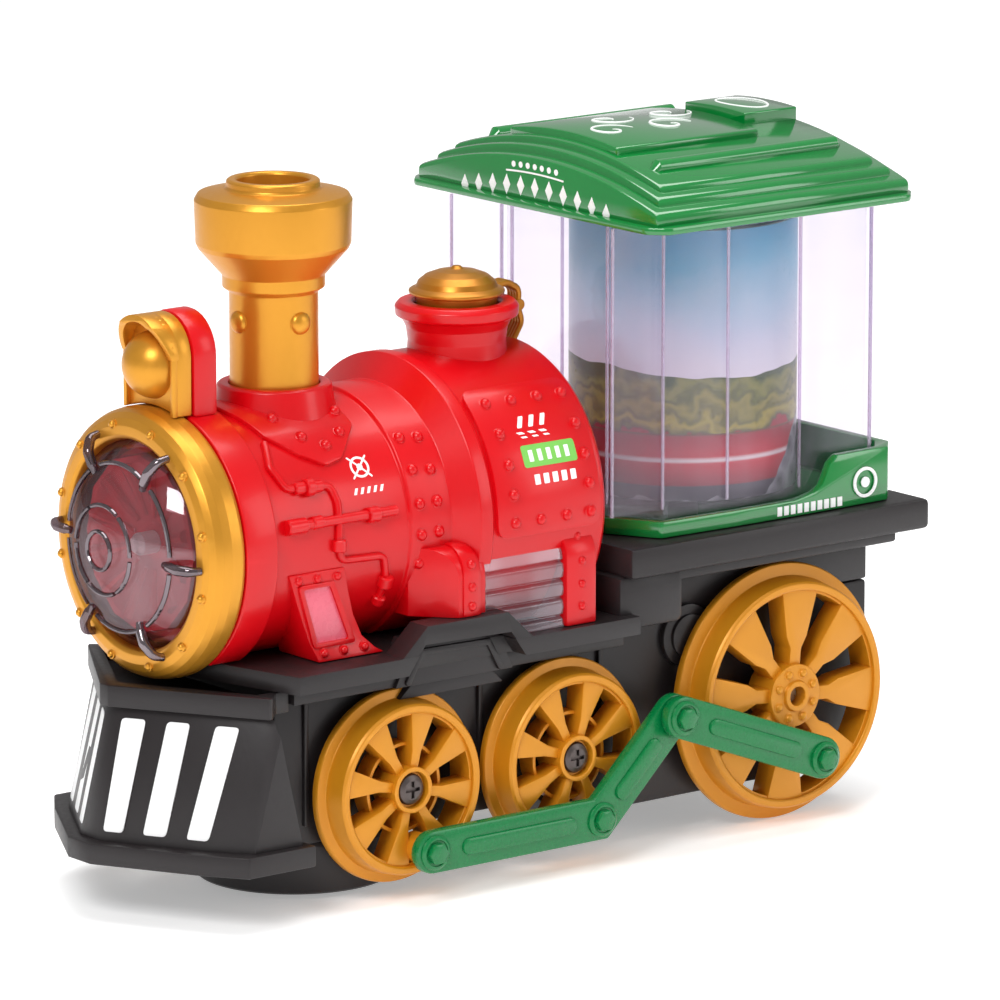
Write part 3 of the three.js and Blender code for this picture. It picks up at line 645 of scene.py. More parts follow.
def pair(name, shape, materials, nodes, body="chassis", crease=34):
    """A near piece and its mirror image. Node and body names take _near and _far."""
    far = shape.copy()
    for v in far.verts:
        v.co.y = -v.co.y
    for part, end in ((shape, "near"), (far, "far")):
        named = [f"{n}_{end}" for n in nodes]
        own = BODY_OF[named[0]] if named else body
        piece(f"{name}_{end}", part, materials, named, own, crease)


# ------------------------------------------------------------------ wheels
FACE, BACK = -34.4, -26.4
FRONT_ROD_FACE, REAR_ROD_FACE = -39.4, -42.4


def rim(shape, x, z, tread, flange):
    inner = tread - 2.0
    profile = [
        (inner, FACE + 0.2), (inner + 0.5, FACE - 0.1), (tread - 0.5, FACE - 0.1), (tread, FACE + 0.5),
        (tread + 0.5, BACK - 2.5), (flange - 0.2, BACK - 2.2), (flange, BACK - 1.6), (flange, BACK - 0.5),
        (flange - 0.6, BACK), (inner, BACK),
    ]
    lathe(shape, "y", profile, (x, 0, z), 96, 0.35, ring=True)
    lining = [(inner - 0.5, FACE + 1.0), (inner + 0.2, FACE + 1.0), (inner + 0.2, BACK), (inner - 0.5, BACK)]
    lathe(shape, "y", lining, (x, 0, z), 96, 0.15, ring=True)


def spokes(shape, x, z, outline, phase, depth):
    """Eight spokes drawn along a radius as (distance, half width), then turned to their places."""
    near = [(r, -w) for r, w in outline] + [(r, w) for r, w in reversed(outline)]
    for k in range(8):
        a = math.radians(phase) + math.pi * k / 4
        part = block(near, FACE + 0.7, FACE + 0.7 + depth, 0.3)

        def turn(co, a=a):
            return (x + co.x * math.cos(a) - co.y * math.sin(a), co.z,
                    z + co.x * math.sin(a) + co.y * math.cos(a))

        merge(shape, part, turn)


def crank_boss(shape, centre, face):
    lathe(shape, "y", [(0, face + 0.5), (2.0, face + 0.5), (2.0, -36.4), (3.4, -36.4), (3.4, FACE + 3),
                       (0, FACE + 3)], (centre.x, 0, centre.y), 28, 0.2)


def small_wheel(x, phase, crank):
    shape = bmesh.new()
    rim(shape, x, SMALL_Z, 19.0, 21.7)
    spokes(shape, x, SMALL_Z, [(4.2, 1.05), (8.5, 1.25), (17.3, 3.35)], phase, 5.6)
    hub = [(5.15, FACE - 0.4), (5.15, BACK + 0.1), (1.6, BACK + 0.1), (1.6, FACE + 1.6), (4.1, FACE + 1.6),
           (4.1, FACE - 0.4)]
    lathe(shape, "y", hub, (x, 0, SMALL_Z), 48, 0.25, ring=True)
    lathe(shape, "y", [(9.3, -31.2), (10.1, -31.2), (10.1, BACK), (9.3, BACK)], (x, 0, SMALL_Z), 64, 0.15,
          ring=True)
    if crank:
        crank_boss(shape, LEAD_PIN, FRONT_ROD_FACE)
    return shape


def big_wheel():
    shape = bmesh.new()
    rim(shape, BIG_X, BIG_Z, 26.0, 29.5)
    spokes(shape, BIG_X, BIG_Z, [(6.5, 1.6), (10.6, 1.6), (13.4, 3.0), (24.2, 5.3)], 40, 5.8)
    hub = [(7.2, FACE - 0.3), (7.2, BACK + 0.1), (2.2, BACK + 0.1), (2.2, FACE - 1.2), (3.4, FACE - 1.2),
           (3.6, FACE - 0.3)]
    lathe(shape, "y", hub, (BIG_X, 0, BIG_Z), 56, 0.25, ring=True)
    for k in range(8):
        a = math.pi * (k + 0.5) / 4
        dome(shape, (BIG_X + 5.4 * math.cos(a), FACE - 0.3, BIG_Z + 5.4 * math.sin(a)), (0, -1, 0), 1.0, 0.8)
    crank_boss(shape, BIG_PIN, REAR_ROD_FACE)
    return shape


def cross_screw(x):
    head = [(0, FACE - 0.1), (2.2, FACE - 0.05), (3.2, FACE + 0.35), (3.5, FACE + 0.9), (3.4, FACE + 1.3),
            (1.5, FACE + 1.4), (1.5, -24.6), (0, -24.6)]
    cross = [solid(side, rectangle(x - long_x, x + long_x, SMALL_Z - long_z, SMALL_Z + long_z),
                   FACE - 1, FACE + 0.75, 0) for long_x, long_z in ((1.9, 0.42), (0.42, 1.9))]
    return boolean(solid(lathe, "y", head, (x, 0, SMALL_Z), 40, 0.1), cross)


pair("lead_wheel_look", small_wheel(LEAD_X, 33.0, True), [WHEEL_GOLD], ["lead_wheel"])
pair("mid_wheel_look", small_wheel(MID_X, 26.5, False), [WHEEL_GOLD], ["mid_wheel"])
pair("big_wheel_look", big_wheel(), [WHEEL_GOLD], ["big_wheel"])
pair("lead_screw_look", cross_screw(LEAD_X), [DARK_STEEL], ["lead_wheel_screw"])
pair("mid_screw_look", cross_screw(MID_X), [DARK_STEEL], ["mid_wheel_screw"])

# ------------------------------------------------------------------ coupling rods
ROD_HALF, ROD_THICK = 4.8, 2.6


def bolt(shape, point, face):
    x, z = point
    boss = [(0, face + 0.4), (3.9, face + 0.4), (3.9, face - 0.5), (3.3, face - 0.9), (2.9, face - 0.9),
            (2.9, face - 0.6), (0, face - 0.6)]
    lathe(shape, "y", boss, (x, 0, z), 40, 0.15)
    side(shape, circle(x, z, 2.55, 6), face - 1.9, face - 0.3, 0.35)


def rod(stops, face, ribs, bolts):
    """A flat rod along its stops, with ribs (start, end, share, share) and bolts on its face."""
    shape = solid(side, stroke(stops, ROD_HALF, 12), face, face + ROD_THICK, 0.6)
    for start, end, from_share, to_share in ribs:
        middle_line = [start.lerp(end, from_share), start.lerp(end, to_share)]
        side(shape, stroke(middle_line, 1.9), face - 0.75, face + 0.4, 0.5)
    for point in bolts:
        bolt(shape, point, face)
    return shape


def front_rod():
    ribs = ((LEAD_PIN, ELBOW, 0.2, 0.8), (ELBOW, KNEE, 0.27, 0.7))
    return rod([LEAD_PIN, ELBOW, KNEE], FRONT_ROD_FACE, ribs, (LEAD_PIN, ELBOW))


def rear_rod():
    shape = rod([KNEE, BIG_PIN], REAR_ROD_FACE, ((KNEE, BIG_PIN, 0.22, 0.78),), (KNEE, BIG_PIN))
    pin(shape, "y", 2.0, -40.2, -37.1, (KNEE.x, 0, KNEE.y), 24)
    return shape


pair("front_rod_look", front_rod(), [ROD_GREEN], ["front_rod"])
pair("rear_rod_look", rear_rod(), [ROD_GREEN], ["rear_rod"])

# ------------------------------------------------------------------ chassis
DECK_LOW, DECK_TOP, DECK_HALF, TUB_HALF = 50.7, 54.7, 36.2, 23.8
STEP = [(-44, 50.9), (-41.3, 50.9), (-36.2, 57), (-12.5, 56.5), (-7.9, 50.9), (-5, 50.9), (-5, 54.5),
        (-6.5, 54.7), (-13.3, 61), (-35.6, 61), (-42.4, 54.7), (-44, 54.5)]


def footplate():
    half = [(-78.3, -8), (-77, -10.3), (-70.4, -DECK_HALF), (24, -DECK_HALF)]
    plate = solid(plan, mirrored(half), DECK_LOW, DECK_TOP, 0)
    notch = [(-41.3, 50), (-36.2, 57), (-12.5, 56.5), (-7.9, 50)]
    notches = [solid(side, notch, *span(sign, 31.5, 40), 0) for sign in (-1, 1)]
    steps = [solid(side, STEP, *span(sign, 29.9, DECK_HALF - 0.02), 0) for sign in (-1, 1)]
    return soften(boolean(boolean(plate, notches), steps, "UNION"), 0.35)


def chassis_tub():
    outline = [(-68, 50.3), (-68, 13.5), (5, 13.5), (11, 8), (95, 8), (101, 17), (101, 50.3)]
    shape = solid(side, outline, -TUB_HALF, TUB_HALF, 0.8)
    disc_x, disc_z = 47, 45.1
    ends = ((56.3, 55.1), (34.5, 47.8))
    for sign in (-1, 1):
        def raised(outline, depth, bevel=0.3, sign=sign):
            side(shape, outline, *span(sign, TUB_HALF - 0.5, TUB_HALF + depth), bevel)

        def stud(radius, angle, y, size, height, sign=sign):
            at = (disc_x + radius * math.cos(angle), sign * y, disc_z + radius * math.sin(angle))
            dome(shape, at, (0, sign, 0), size, height)

        for x in (LEAD_X, MID_X):
            raised(circle(x, SMALL_Z, 3.6), 2.0)
        raised([(-39, 44), (-33, 49.6), (-16, 49.6), (-10, 44)], 6.6, 0.4)
        for x in (-60, -31, -12, 22):
            raised(rectangle(x - 0.6, x + 0.6, 18, 49), 1.0)
        raised(rectangle(-60, 22, 40.4, 41.6), 0.8)
        raised(circle(disc_x, disc_z, 7.2, 40), 1.4)
        raised(circle(disc_x, disc_z, 5.0, 40), 2.2)
        raised(stroke([ends[0], (disc_x, disc_z), ends[1]], 2.4), 1.0)
        for x, z in ends:
            dome(shape, (x, sign * 24.8, z), (0, sign, 0), 1.5, 1.0)
        for k in range(10):
            stud(6.1, math.pi * k / 5, 25.2, 0.6 if k % 2 else 0.8, 0.4)
        for k in (3, 7, 11):
            stud(1.8, math.pi * k / 6, 26.0, 1.0, 0.8)
    hole = solid(pin, "z", 22.9, 5, 15.2, (TURN_X, 0, 0), 64)
    return boolean(shape, [hole])


def rear_platform():
    shape = bmesh.new()
    slabs = ((21.7, 109.4, 36, 63, 70, 1.2), (24.4, 102, 33, 60.4, 63.6, 0.8),
             (24.4, 101, TUB_HALF, 50.5, 60, 0.5), (20.4, 39, 33.4, 50.9, 63.4, 1.8))
    for x0, x1, half, low, high, bevel in slabs:
        slab(shape, x0, x1, -half, half, low, high, bevel)
    return shape


def valance():
    """The embossed skirt that shows below the raised step, on both sides."""
    shape = solid(side, [(-40.8, 47.0), (-35.8, 56.8), (-12.7, 56.3), (-8.2, 47.0)], -31.4, -24.2, 0.2)
    bead = [(-37.6, 47.9), (-33.9, 54.3), (-15.4, 54.0), (-12.0, 47.9)]
    side(shape, stroke(bead, 0.75, 4), -32.1, -31.0, 0.3)
    side(shape, rectangle(-67.6, 24, 47.0, 50.5), -30.4, -23.6, 0.3)
    return shape


def buffer_beam():
    half = [(-96, -1.5), (-77.6, -31.4), (-76, -33.8), (-73.8, -31.6), (-72, -29.6), (-68.4, -29.6)]
    beam = solid(plan, mirrored(rounded(half, 1.0, 3, closed=False)), 45.7, 50.4, 0)
    recess = solid(plan, mirrored([(-91.5, -1), (-76, -28.2), (-70.6, -28.4)]), 47.4, 53, 0)
    return soften(boolean(beam, [recess]), 0.35)


PLOUGH_HIGH, PLOUGH_LOW = 45.4, 15
PLOUGH_TOP = [(-93.5, -2.2), (-76, -31), (-72.5, -33.6), (-62.6, -33.6)]
PLOUGH_FOOT = [(-100.5, -3.6), (-88.5, -24.8), (-81.5, -34), (-62.6, -34.4)]


def on_plough(s, t, lift=0.0):
    """A point on the near plough face: s runs from the nose outwards, t from the top down."""
    top, foot = (Vector((*half[0], z)).lerp(Vector((*half[1], z)), s)
                 for half, z in ((PLOUGH_TOP, PLOUGH_HIGH), (PLOUGH_FOOT, PLOUGH_LOW)))
    return top.lerp(foot, t) + Vector((-0.85, -0.5, 0.2)).normalized() * lift


def tapered(low_half, low, high_half, high):
    """A solid between two half outlines at two heights."""
    rows = [[(x, y, z) for x, y in mirrored(half)] for half, z in ((low_half, low), (high_half, high))]
    return solid(loft, rows, 0)


def cowcatcher():
    hollow = tapered([(-97.5, -2.6), (-86, -22.8), (-79.5, -31), (-60, -31.4)], 14,
                     [(-90.5, -1.6), (-74, -28.4), (-71, -30.6), (-60, -30.6)], 43)
    behind = solid(side, [(-75.0, 48), (-67.4, 13), (-50, 13), (-50, 48)], -40, 40, 0)
    wall = boolean(tapered(PLOUGH_FOOT, PLOUGH_LOW, PLOUGH_TOP, PLOUGH_HIGH), [hollow, behind])
    soften(wall, 0.5)
    rail = solid(plan, mirrored([(-103.1, -4), (-91, -26), (-84, -36), (-66, -36)]), 12.3, 17, 0)
    opening = solid(plan, mirrored([(-98.5, -2.8), (-87, -23.5), (-80.5, -31.4), (-60, -31.4)]), 10, 19, 0)
    merge(wall, soften(boolean(rail, [opening]), 0.4))
    return wall


SLOTS = (((0.03, 0.2), (0.02, 0.2)), ((0.35, 0.51), (0.385, 0.595)), ((0.69, 0.855), (0.785, 0.985)))


def slot_bars():
    """The six white bars on the plough, each a thin pad with rounded corners."""
    shape = bmesh.new()
    wide, tall = 33, 31
    for (top_a, top_b), (foot_a, foot_b) in SLOTS:
        corners = [(top_a, 0.07), (top_b, 0.07), (foot_b, 0.865), (foot_a, 0.865)]
        outline = rounded([(s * wide, t * tall) for s, t in corners], 1.0, 4)
        for sign in (1, -1):
            def lay(co, sign=sign):
                point = on_plough(co.x / wide, co.y / tall, co.z)
                return (point.x, sign * point.y, point.z)

            merge(shape, block(outline, -0.4, 0.18, 0.08), lay)
    return shape


piece("chassis_look", chassis_tub(), [DARK], ["chassis_frame"])
piece("footplate_look", footplate(), [DARK], ["footplate"])
piece("rear_platform_look", rear_platform(), [DARK], ["rear_platform"])
piece("buffer_beam_look", buffer_beam(), [DARK], ["buffer_beam"])
piece("cowcatcher_look", cowcatcher(), [DARK], ["cowcatcher"])
piece("cowcatcher_bars", slot_bars(), [PRINT], [], "chassis")
pair("valance_look", valance(), [DARK], [])


def coupler():
    shape = solid(slab, 101, 108.2, -4, 4, 44, 49.5, 0.9)
    pin(shape, "z", 1.6, 43, 52.5, (105.6, 0, 0), 24, 0.3)
    return shape


piece("rear_coupler_look", coupler(), [DARK], ["rear_coupler"])


def drive_skirt():
    profile = [(9, 17.2), (9, 13.1), (21.4, 13.1), (22.4, 12.6), (22.6, 11.6), (22.3, 1.4), (21.6, 0.8),
               (20.6, 0.8), (20.6, 11.1), (4, 11.1), (4, 17.2)]
    shape = solid(lathe, "z", profile, (TURN_X, 0, 0), 96, 0.3, ring=True)
    for sign in (-1, 1):
        slab(shape, TURN_X - 3, TURN_X + 3, *span(sign, 16.4, 19), 2.6, 11.5, 0.4)
    return shape


piece("drive_skirt_look", drive_skirt(), [DARK], ["turntable_skirt"])

# ------------------------------------------------------------------ boiler
BARREL_R, STRAP_R, REAR_R = 27.3, 28.2, 33.8


def boiler():
    profile = [(0, -79.2), (29.6, -79.2), (29.6, -71), (28.5, -70.4), (BARREL_R, -69.8), (BARREL_R, -34),
               (STRAP_R, -33.6), (STRAP_R, -22.7), (REAR_R, -18.9), (REAR_R, -15.6), (REAR_R - 0.5, -15.2),
               (REAR_R - 0.5, 15.6), (REAR_R - 1.6, 17), (0, 17)]
    shape = solid(lathe, "x", profile, (0, 0, BOILER_Z), 144, 0.45)
    geometry = shape.verts[:] + shape.edges[:] + shape.faces[:]
    cut = bmesh.ops.bisect_plane(shape, geom=geometry, plane_co=(0, 0, 55), plane_no=(0, 0, 1),
                                 clear_inner=True)
    rim_edges = [e for e in cut["geom_cut"] if isinstance(e, bmesh.types.BMEdge)]
    bmesh.ops.edgeloop_fill(shape, edges=rim_edges)
    slab(shape, -64, 14, -10.5, 10.5, 54.9, 66, 0.4)
    return shape


def chimney_saddle(shape):
    profile = [(0, 96), (16.2, 96), (15.5, 98), (14.2, 103), (13.2, 107), (12.5, 110.8), (11.9, 111.3),
               (10.1, 111.3), (9.9, 110.6), (9.9, 109), (0, 109)]
    lathe(shape, "z", profile, (CHIMNEY_X, 0, 0), 72, 0.5)
    near = [(-66.9, 11), (-64.3, 34), (-58, 47), (-52.8, 53.6), (-48.1, 51.5), (-40.5, 34.8), (-40.8, 20),
            (-42, 11)]
    plate_on_boiler(shape, mirrored(near), BARREL_R, 1.0, 2.0, 0.35)
    rivets = ((-58.9, 23.8), (-55.5, 37.8), (-50.7, 44.1), (-45.4, 38.3), (-42.4, 25.3))
    for sign in (1, -1):
        rivets_on_boiler(shape, sided(rivets, sign), BARREL_R + 1.0)


PIPES = ((0.85, ((-64.9, 37), (-67, 50), (-64.7, 61.5), (-53.3, 62.7), (-52.4, 71), (-53.2, 88),
                 (-52.7, 97.4), (-40.8, 98.5), (-39.4, 110), (-39.6, 121))),
         (1.15, ((-66, 78.6), (-37.4, 78.7))))
NUTS = ((-59.3, 62.2, 2.0, 1.6, True), (-61.4, 62.0, 1.35, 2.6, True), (-57.2, 62.4, 1.35, 2.6, True),
        (-64.6, 78.6, 1.75, 4.6, True), (-58.8, 78.3, 1.45, 2.2, True), (-43.8, 78.9, 1.75, 2.4, True),
        (-53.3, 90.2, 1.6, 2.2, False), (-39.4, 111.4, 1.7, 2.2, False), (-39.6, 121.6, 1.5, 1.6, False))


def pipework(shape, sign):
    """Pipes as (thickness, stops) and nuts as (x, degrees, thickness, length, along the boiler)."""
    for thick, stops in PIPES:
        pipe_on_boiler(shape, sided(stops, sign), BARREL_R, thick)
    for x, degrees, thick, length, along_x in NUTS:
        nut_on_boiler(shape, x, sign * degrees, BARREL_R, thick, length, along_x)


REAR_PANEL = [(-14.5, 36), (14.2, 36), (14.2, 95.5), (-14.5, 95.5)]


def boiler_dress(shape):
    rivets = [(x, d) for x in (-9.9, -2.8, 4.5, 11.3) for d in (43.5, 90)]
    rivets += [(x, d) for x in (-9.9, 11.3) for d in (56.5, 68.5, 79.5)]
    bands = [(-31.2, d) for d in (46, 62, 77.6, 91.4, 104.6)] + [(-26.4, d) for d in (47, 63, 77.5, 91)]
    for sign in (1, -1):
        plate_on_boiler(shape, sided(REAR_PANEL, sign), REAR_R - 0.5, 0.95, 3.2, 0.25)
        rivets_on_boiler(shape, sided(rivets, sign), REAR_R + 0.4)
        rivets_on_boiler(shape, sided(bands, sign), STRAP_R)
        pipework(shape, sign)


boiler_shape = boiler()
chimney_saddle(boiler_shape)
boiler_dress(boiler_shape)
piece("boiler_look", boiler_shape, [RED], ["boiler_shell"])


def printed(shape, outline, radius, sign, index=0, round_by=0.25, lift=0.06):
    plate_on_boiler(shape, sided(outline, sign), radius, lift, round_by, 0.0, index, 0.1)


def slanted(x, degrees, wide, tall, lean):
    """A small leaning bar in (x, degrees)."""
    return [(x, degrees + tall), (x + wide, degrees + tall), (x + wide + lean, degrees), (x + lean, degrees)]


def boiler_prints():
    """White bars, a plain ring and a plain green label; there is no lettering."""
    shape = bmesh.new()
    panel = REAR_R + 0.45
    for sign in (1, -1):
        for k in range(3):
            x = -4.6 + 3.1 * k
            printed(shape, slanted(x, 50.8, 1.3, 4.6, 1.5), panel, sign)
            printed(shape, slanted(x, 57.0, 1.7, 0.9, -0.9), panel, sign, round_by=0.1)
            printed(shape, slanted(x + 0.6, 58.8, 1.5, 0.7, -0.6), panel, sign, round_by=0.1)
        printed(shape, [(-5.6, 62.2), (9.2, 62.2), (9.2, 70.6), (-5.6, 70.6)], panel, sign, 1, 0.8)
        for k in range(5):
            x = -3.9 + 2.5 * k
            printed(shape, [(x, 64.2), (x + 1.2, 64.2), (x + 1.2, 68.6), (x, 68.6)], panel, sign, 0, 0.2, 0.1)
            printed(shape, [(x + 0.4, 73.4), (x + 1.9, 73.4), (x + 1.9, 77.2), (x + 0.4, 77.2)], panel, sign)
        valve_mark(shape, sign)
        for k in range(5):
            printed(shape, slanted(-47.4 + 1.75 * k, 66, 0.75, 3.0, 0.7), BARREL_R, sign, round_by=0.1)
    return shape


def valve_mark(shape, sign):
    """A plain handwheel mark: a ring, four short spokes and a hub."""
    scale = math.degrees(1 / BARREL_R)
    centre_x, centre_d = -43.8, 56.3
    angles = [math.radians(45 + 90 * k) for k in range(4)]
    outlines = [*hoop(0, 0, 2.5, 1.95, 16, 1.0), circle(0, 0, 0.8, 12)]
    outlines += [stroke([(r * math.cos(a), r * math.sin(a)) for r in (0.4, 3.4)], 0.22, 3) for a in angles]
    for outline in outlines:
        placed = [(centre_x + a, centre_d + b * scale) for a, b in outline]
        printed(shape, placed, BARREL_R, sign, round_by=0)


piece("boiler_prints", boiler_prints(), [PRINT, LABEL], [], "chassis")

# ------------------------------------------------------------------ foot brackets, fenders and windows
FOOT_ROWS = ((54.9, -59.2, -41.4, -28.3), (56.2, -59.6, -43.6, -28.0), (59, -60.6, -46.4, -26.9),
             (64, -62.4, -48.6, -26.7), (70, -64.6, -50.2, -26.9), (74.8, -66.4, -51.4, -27.3))


def foot_bracket():
    rows = [[(x0, y, z), (x1, y, z), (x1, -14, z), (x0, -14, z)] for z, x0, x1, y in FOOT_ROWS]
    shape = solid(loft, rows, 0.35)
    for x, z in ((-63.9, 73.4), (-58.8, 73.3), (-53.4, 73.2)):
        dome(shape, (x, -27.2, z), (0, -1, 0), 0.95, 0.8)
    for x in (-57.6, -52.2, -46.6):
        dome(shape, (x, -27.9, 56.7), (0, -1, 0.2), 0.95, 0.8)
    border = [(-64.2, 72.3), (-54.4, 72.3), (-48.6, 57.9), (-59.9, 57.9)]
    opening = [(-62.8, 71.3), (-55.6, 71.3), (-50.6, 59.0), (-59.0, 59.0)]
    frame_bar = boolean(solid(side, rounded(border, 0.8), -27.75, -26, 0),
                        [solid(side, rounded(opening, 0.6), -29, -25, 0)])
    merge(shape, soften(frame_bar, 0.2))
    return shape


def foot_panel():
    return solid(side, [(-62.9, 71.4), (-55.5, 71.4), (-50.5, 58.9), (-59.1, 58.9)], -27.2, -26.4, 0.1)


def fender_profile(inset):
    y = 34.4 - inset
    return [(-18, 50)] + [(-y, 50)] + arc(6.2 - y, 70 - inset, 6.2, 180, 97, 8) + [(-18, 76.6 - inset)]


def under_deck():
    outline = [(-80, 40), (40, 40), (40, 54.8), (-6.3, 54.8), (-13.2, 61.1), (-35.7, 61.1), (-42.6, 54.8),
               (-80, 54.8)]
    return solid(side, outline, -60, 0, 0)


def fender_slice(inset, x0, x1, width):
    """A slice of the fender with its edges rounded, cut clear of the deck."""
    return soften(boolean(solid(front, fender_profile(inset), x0, x1, 0), [under_deck()]), width, 40)


def front_fender():
    shape = solid(front, fender_profile(0), -33, -19.6, 0)
    wedge = [(-33, -16), (-33, -25.8), (-25.2, -34.9), (-19.6, -34.9), (-19.6, -16)]
    shape = boolean(shape, [solid(plan, wedge, 50, 90, 0)], "INTERSECT")
    body = soften(boolean(shape, [under_deck()]), 0.4, 40)
    merge(body, fender_slice(0.7, -19.9, -17.7, 0.25))
    merge(body, fender_slice(-0.45, -24.6, -20.3, 0.3))
    for z in (72.6, 67.6, 63.4):
        dome(body, (-22.4, -34.75 + 0.16 * max(0, z - 70), z), (0, -1, 0.05 * max(0, z - 68)), 1.05, 0.9)
    return body


def rear_fender():
    body = fender_slice(0, 4.5, 12.9, 0.5)
    for y, z, up in ((-32.4, 74.6, 0.8), (-34.35, 69.2, 0.1), (-34.35, 64.0, 0), (-34.35, 59.0, 0)):
        dome(body, (8.7, y, z), (0, -1, up), 0.95, 0.8)
    return body


def side_window():
    """Clear cover with four rounded ribs along the locomotive."""
    outline = [(-20, 53)]
    low, high, count = 53.0, 69.5, 4
    pitch = (high - low) / count
    for k in range(count):
        z = low + pitch * k
        outline += [(-32.2, z + 0.1), (-33.2, z + 0.6), (-33.5, z + pitch / 2), (-33.2, z + pitch - 0.6),
                    (-32.2, z + pitch - 0.1)]
    outline += arc(-27.2, 69.6, 5.9, 176, 100, 6) + [(-20, 75.4)]
    return boolean(solid(front, outline, -17.5, 4.3, 0), [under_deck()])


pair("foot_bracket_look", foot_bracket(), [RED], ["foot_bracket"])
pair("foot_panel", foot_panel(), [RED_PALE], [])
pair("front_fender_look", front_fender(), [RED], ["front_fender"])
pair("rear_fender_look", rear_fender(), [RED], ["rear_fender"])
pair("side_window_look", side_window(), [RIBBED], ["side_window"])

# ------------------------------------------------------------------ headlight
def bezel():
    profile = [(22.9, -86.6), (23.2, -88.0), (24.0, -88.6), (26.0, -88.5), (27.6, -87.9), (28.8, -86.8),
               (29.5, -85.2), (29.8, -83.2), (29.8, -80.6), (29.2, -79.5), (22.9, -79.5)]
    shape = solid(lathe, "x", profile, (0, 0, BOILER_Z), 144, 0.7, ring=True)
    for k in range(12):
        dome(shape, on_boiler(-88.5, 30 * k - 13.6, 26.4), (-1, 0, 0), 0.85, 0.75)
    return shape


LENS_CURVE = [(0, -97.2), (6, -96.7), (11.5, -95.3), (16.5, -92.9), (20, -90.2), (22.3, -87.4)]
CLAW_START = 33


def lens_height(radius):
    for (r0, h0), (r1, h1) in zip(LENS_CURVE, LENS_CURVE[1:]):
        if r0 <= radius <= r1:
            return h0 + (h1 - h0) * (radius - r0) / (r1 - r0)
    return LENS_CURVE[-1][1]


def lens():
    inner = [(20.6, -82.4), (20.6, -87.2), (18.6, -89.8), (15.4, -92.0), (10.8, -94.0), (5.6, -95.3),
             (0, -95.7)]
    return solid(lathe, "x", LENS_CURVE + [(22.7, -86.6), (22.7, -84), (22.4, -82.4)] + inner,
                 (0, 0, BOILER_Z), 96)


def lens_ribs():
    """Raised arcs on the dome and six bent claws that reach over the gold ring."""
    shape = bmesh.new()

    def rib(radius, start, end, steps, thick):
        path = [on_boiler(lens_height(radius) - 0.1, start + (end - start) * i / steps, radius)
                for i in range(steps + 1)]
        tube(shape, path, thick, 8)

    for radius, thick, half_span in ((9.8, 0.5, 27), (18.4, 0.55, 24)):
        for k in range(6):
            turned = CLAW_START + 60 * k + 30
            rib(radius, turned - half_span, turned + half_span, 12, thick)
    rib(4.2, 0, 360, 24, 0.5)
    stops = [(17.0, lens_height(17.0) + 0.6), (18.6, lens_height(18.6) - 1.0), (21.8, -92.4),
             (24.8, -90.8), (25.4, -88.5)]
    claw = rounded(stops, 2.2, 4, closed=False)
    sizes = [0.65 + 0.55 * math.sin(math.pi * (0.1 + 0.8 * i / len(claw))) for i in range(len(claw))]
    for k in range(6):
        tube(shape, [on_boiler(h, CLAW_START + 60 * k, r) for r, h in claw], sizes, 12)
    return shape


def reflector():
    profile = [(0, -82.2), (4, -82.3), (18, -86.0), (19.6, -86.0), (20, -82.1), (22.3, -82.1), (22.3, -79.7),
               (0, -79.7)]
    shape = solid(lathe, "x", profile, (0, 0, BOILER_Z), 12)
    for k in range(12):
        degrees = 15 + 30 * k
        tube(shape, [on_boiler(-83.2, degrees, 6), on_boiler(-86.2, degrees, 17.5)], [0.5, 1.5], 8)
    return shape


piece("bezel_look", bezel(), [GOLD], ["bezel_ring"])
piece("lens_look", lens(), [SMOKE], ["headlight_lens"])
piece("lens_ribs", lens_ribs(), [SMOKE_EDGE], [], "chassis")
piece("reflector_look", reflector(), [REFLECTOR], ["reflector"], crease=12)

# ------------------------------------------------------------------ top lamp
LAMP_Z = 121.1


def arch(half, foot, centre):
    return [(-half, foot), (half, foot)] + arc(0, centre, half, 0, 180, 20)


def clear_of_bezel(radius=30.0):
    return solid(pin, "x", radius, -95, -60, (0, 0, BOILER_Z), 96)


def top_lamp():
    plate = arch(9.1, 107, LAMP_Z)
    body = soften(boolean(solid(front, plate, -82.4, -78.4, 0), [clear_of_bezel()]), 0.5)
    hollow = solid(front, arch(7.9, 100, LAMP_Z), -85, -80, 0)
    merge(body, soften(boolean(solid(front, plate, -83.5, -82.2, 0), [hollow, clear_of_bezel()]), 0.25))
    ring = arc(0, LAMP_Z, 9.1, 0, 180, 24) + arc(0, LAMP_Z, 7.6, 180, 0, 24)
    front_cut = [(-95, 100), (-95, 127.8), (-86.4, 127.8), (-83.0, 119.6), (-83.0, 100)]
    visor = boolean(solid(front, ring, -86.6, -81.8, 0), [solid(side, front_cut, -12, 12, 0)])
    merge(body, soften(visor, 0.3))
    ball = [(7.5 * math.cos(a), -81.2 - 7.5 * math.sin(a)) for a in (math.pi / 20 * k for k in range(10))]
    lathe(body, "x", [(0, -80.4), (7.5, -80.4)] + ball + [(0, -88.7)], (0, 0, 118.9), 56)
    return body


def lamp_shroud():
    shape = solid(front, arch(9.4, 104, LAMP_Z - 0.1), -78.1, -71.7, 0)
    return soften(boolean(shape, [clear_of_bezel(29.5)]), 0.9)


piece("top_lamp_look", top_lamp(), [GOLD], ["top_lamp"])
piece("lamp_shroud_look", lamp_shroud(), [RED], ["lamp_shroud"])

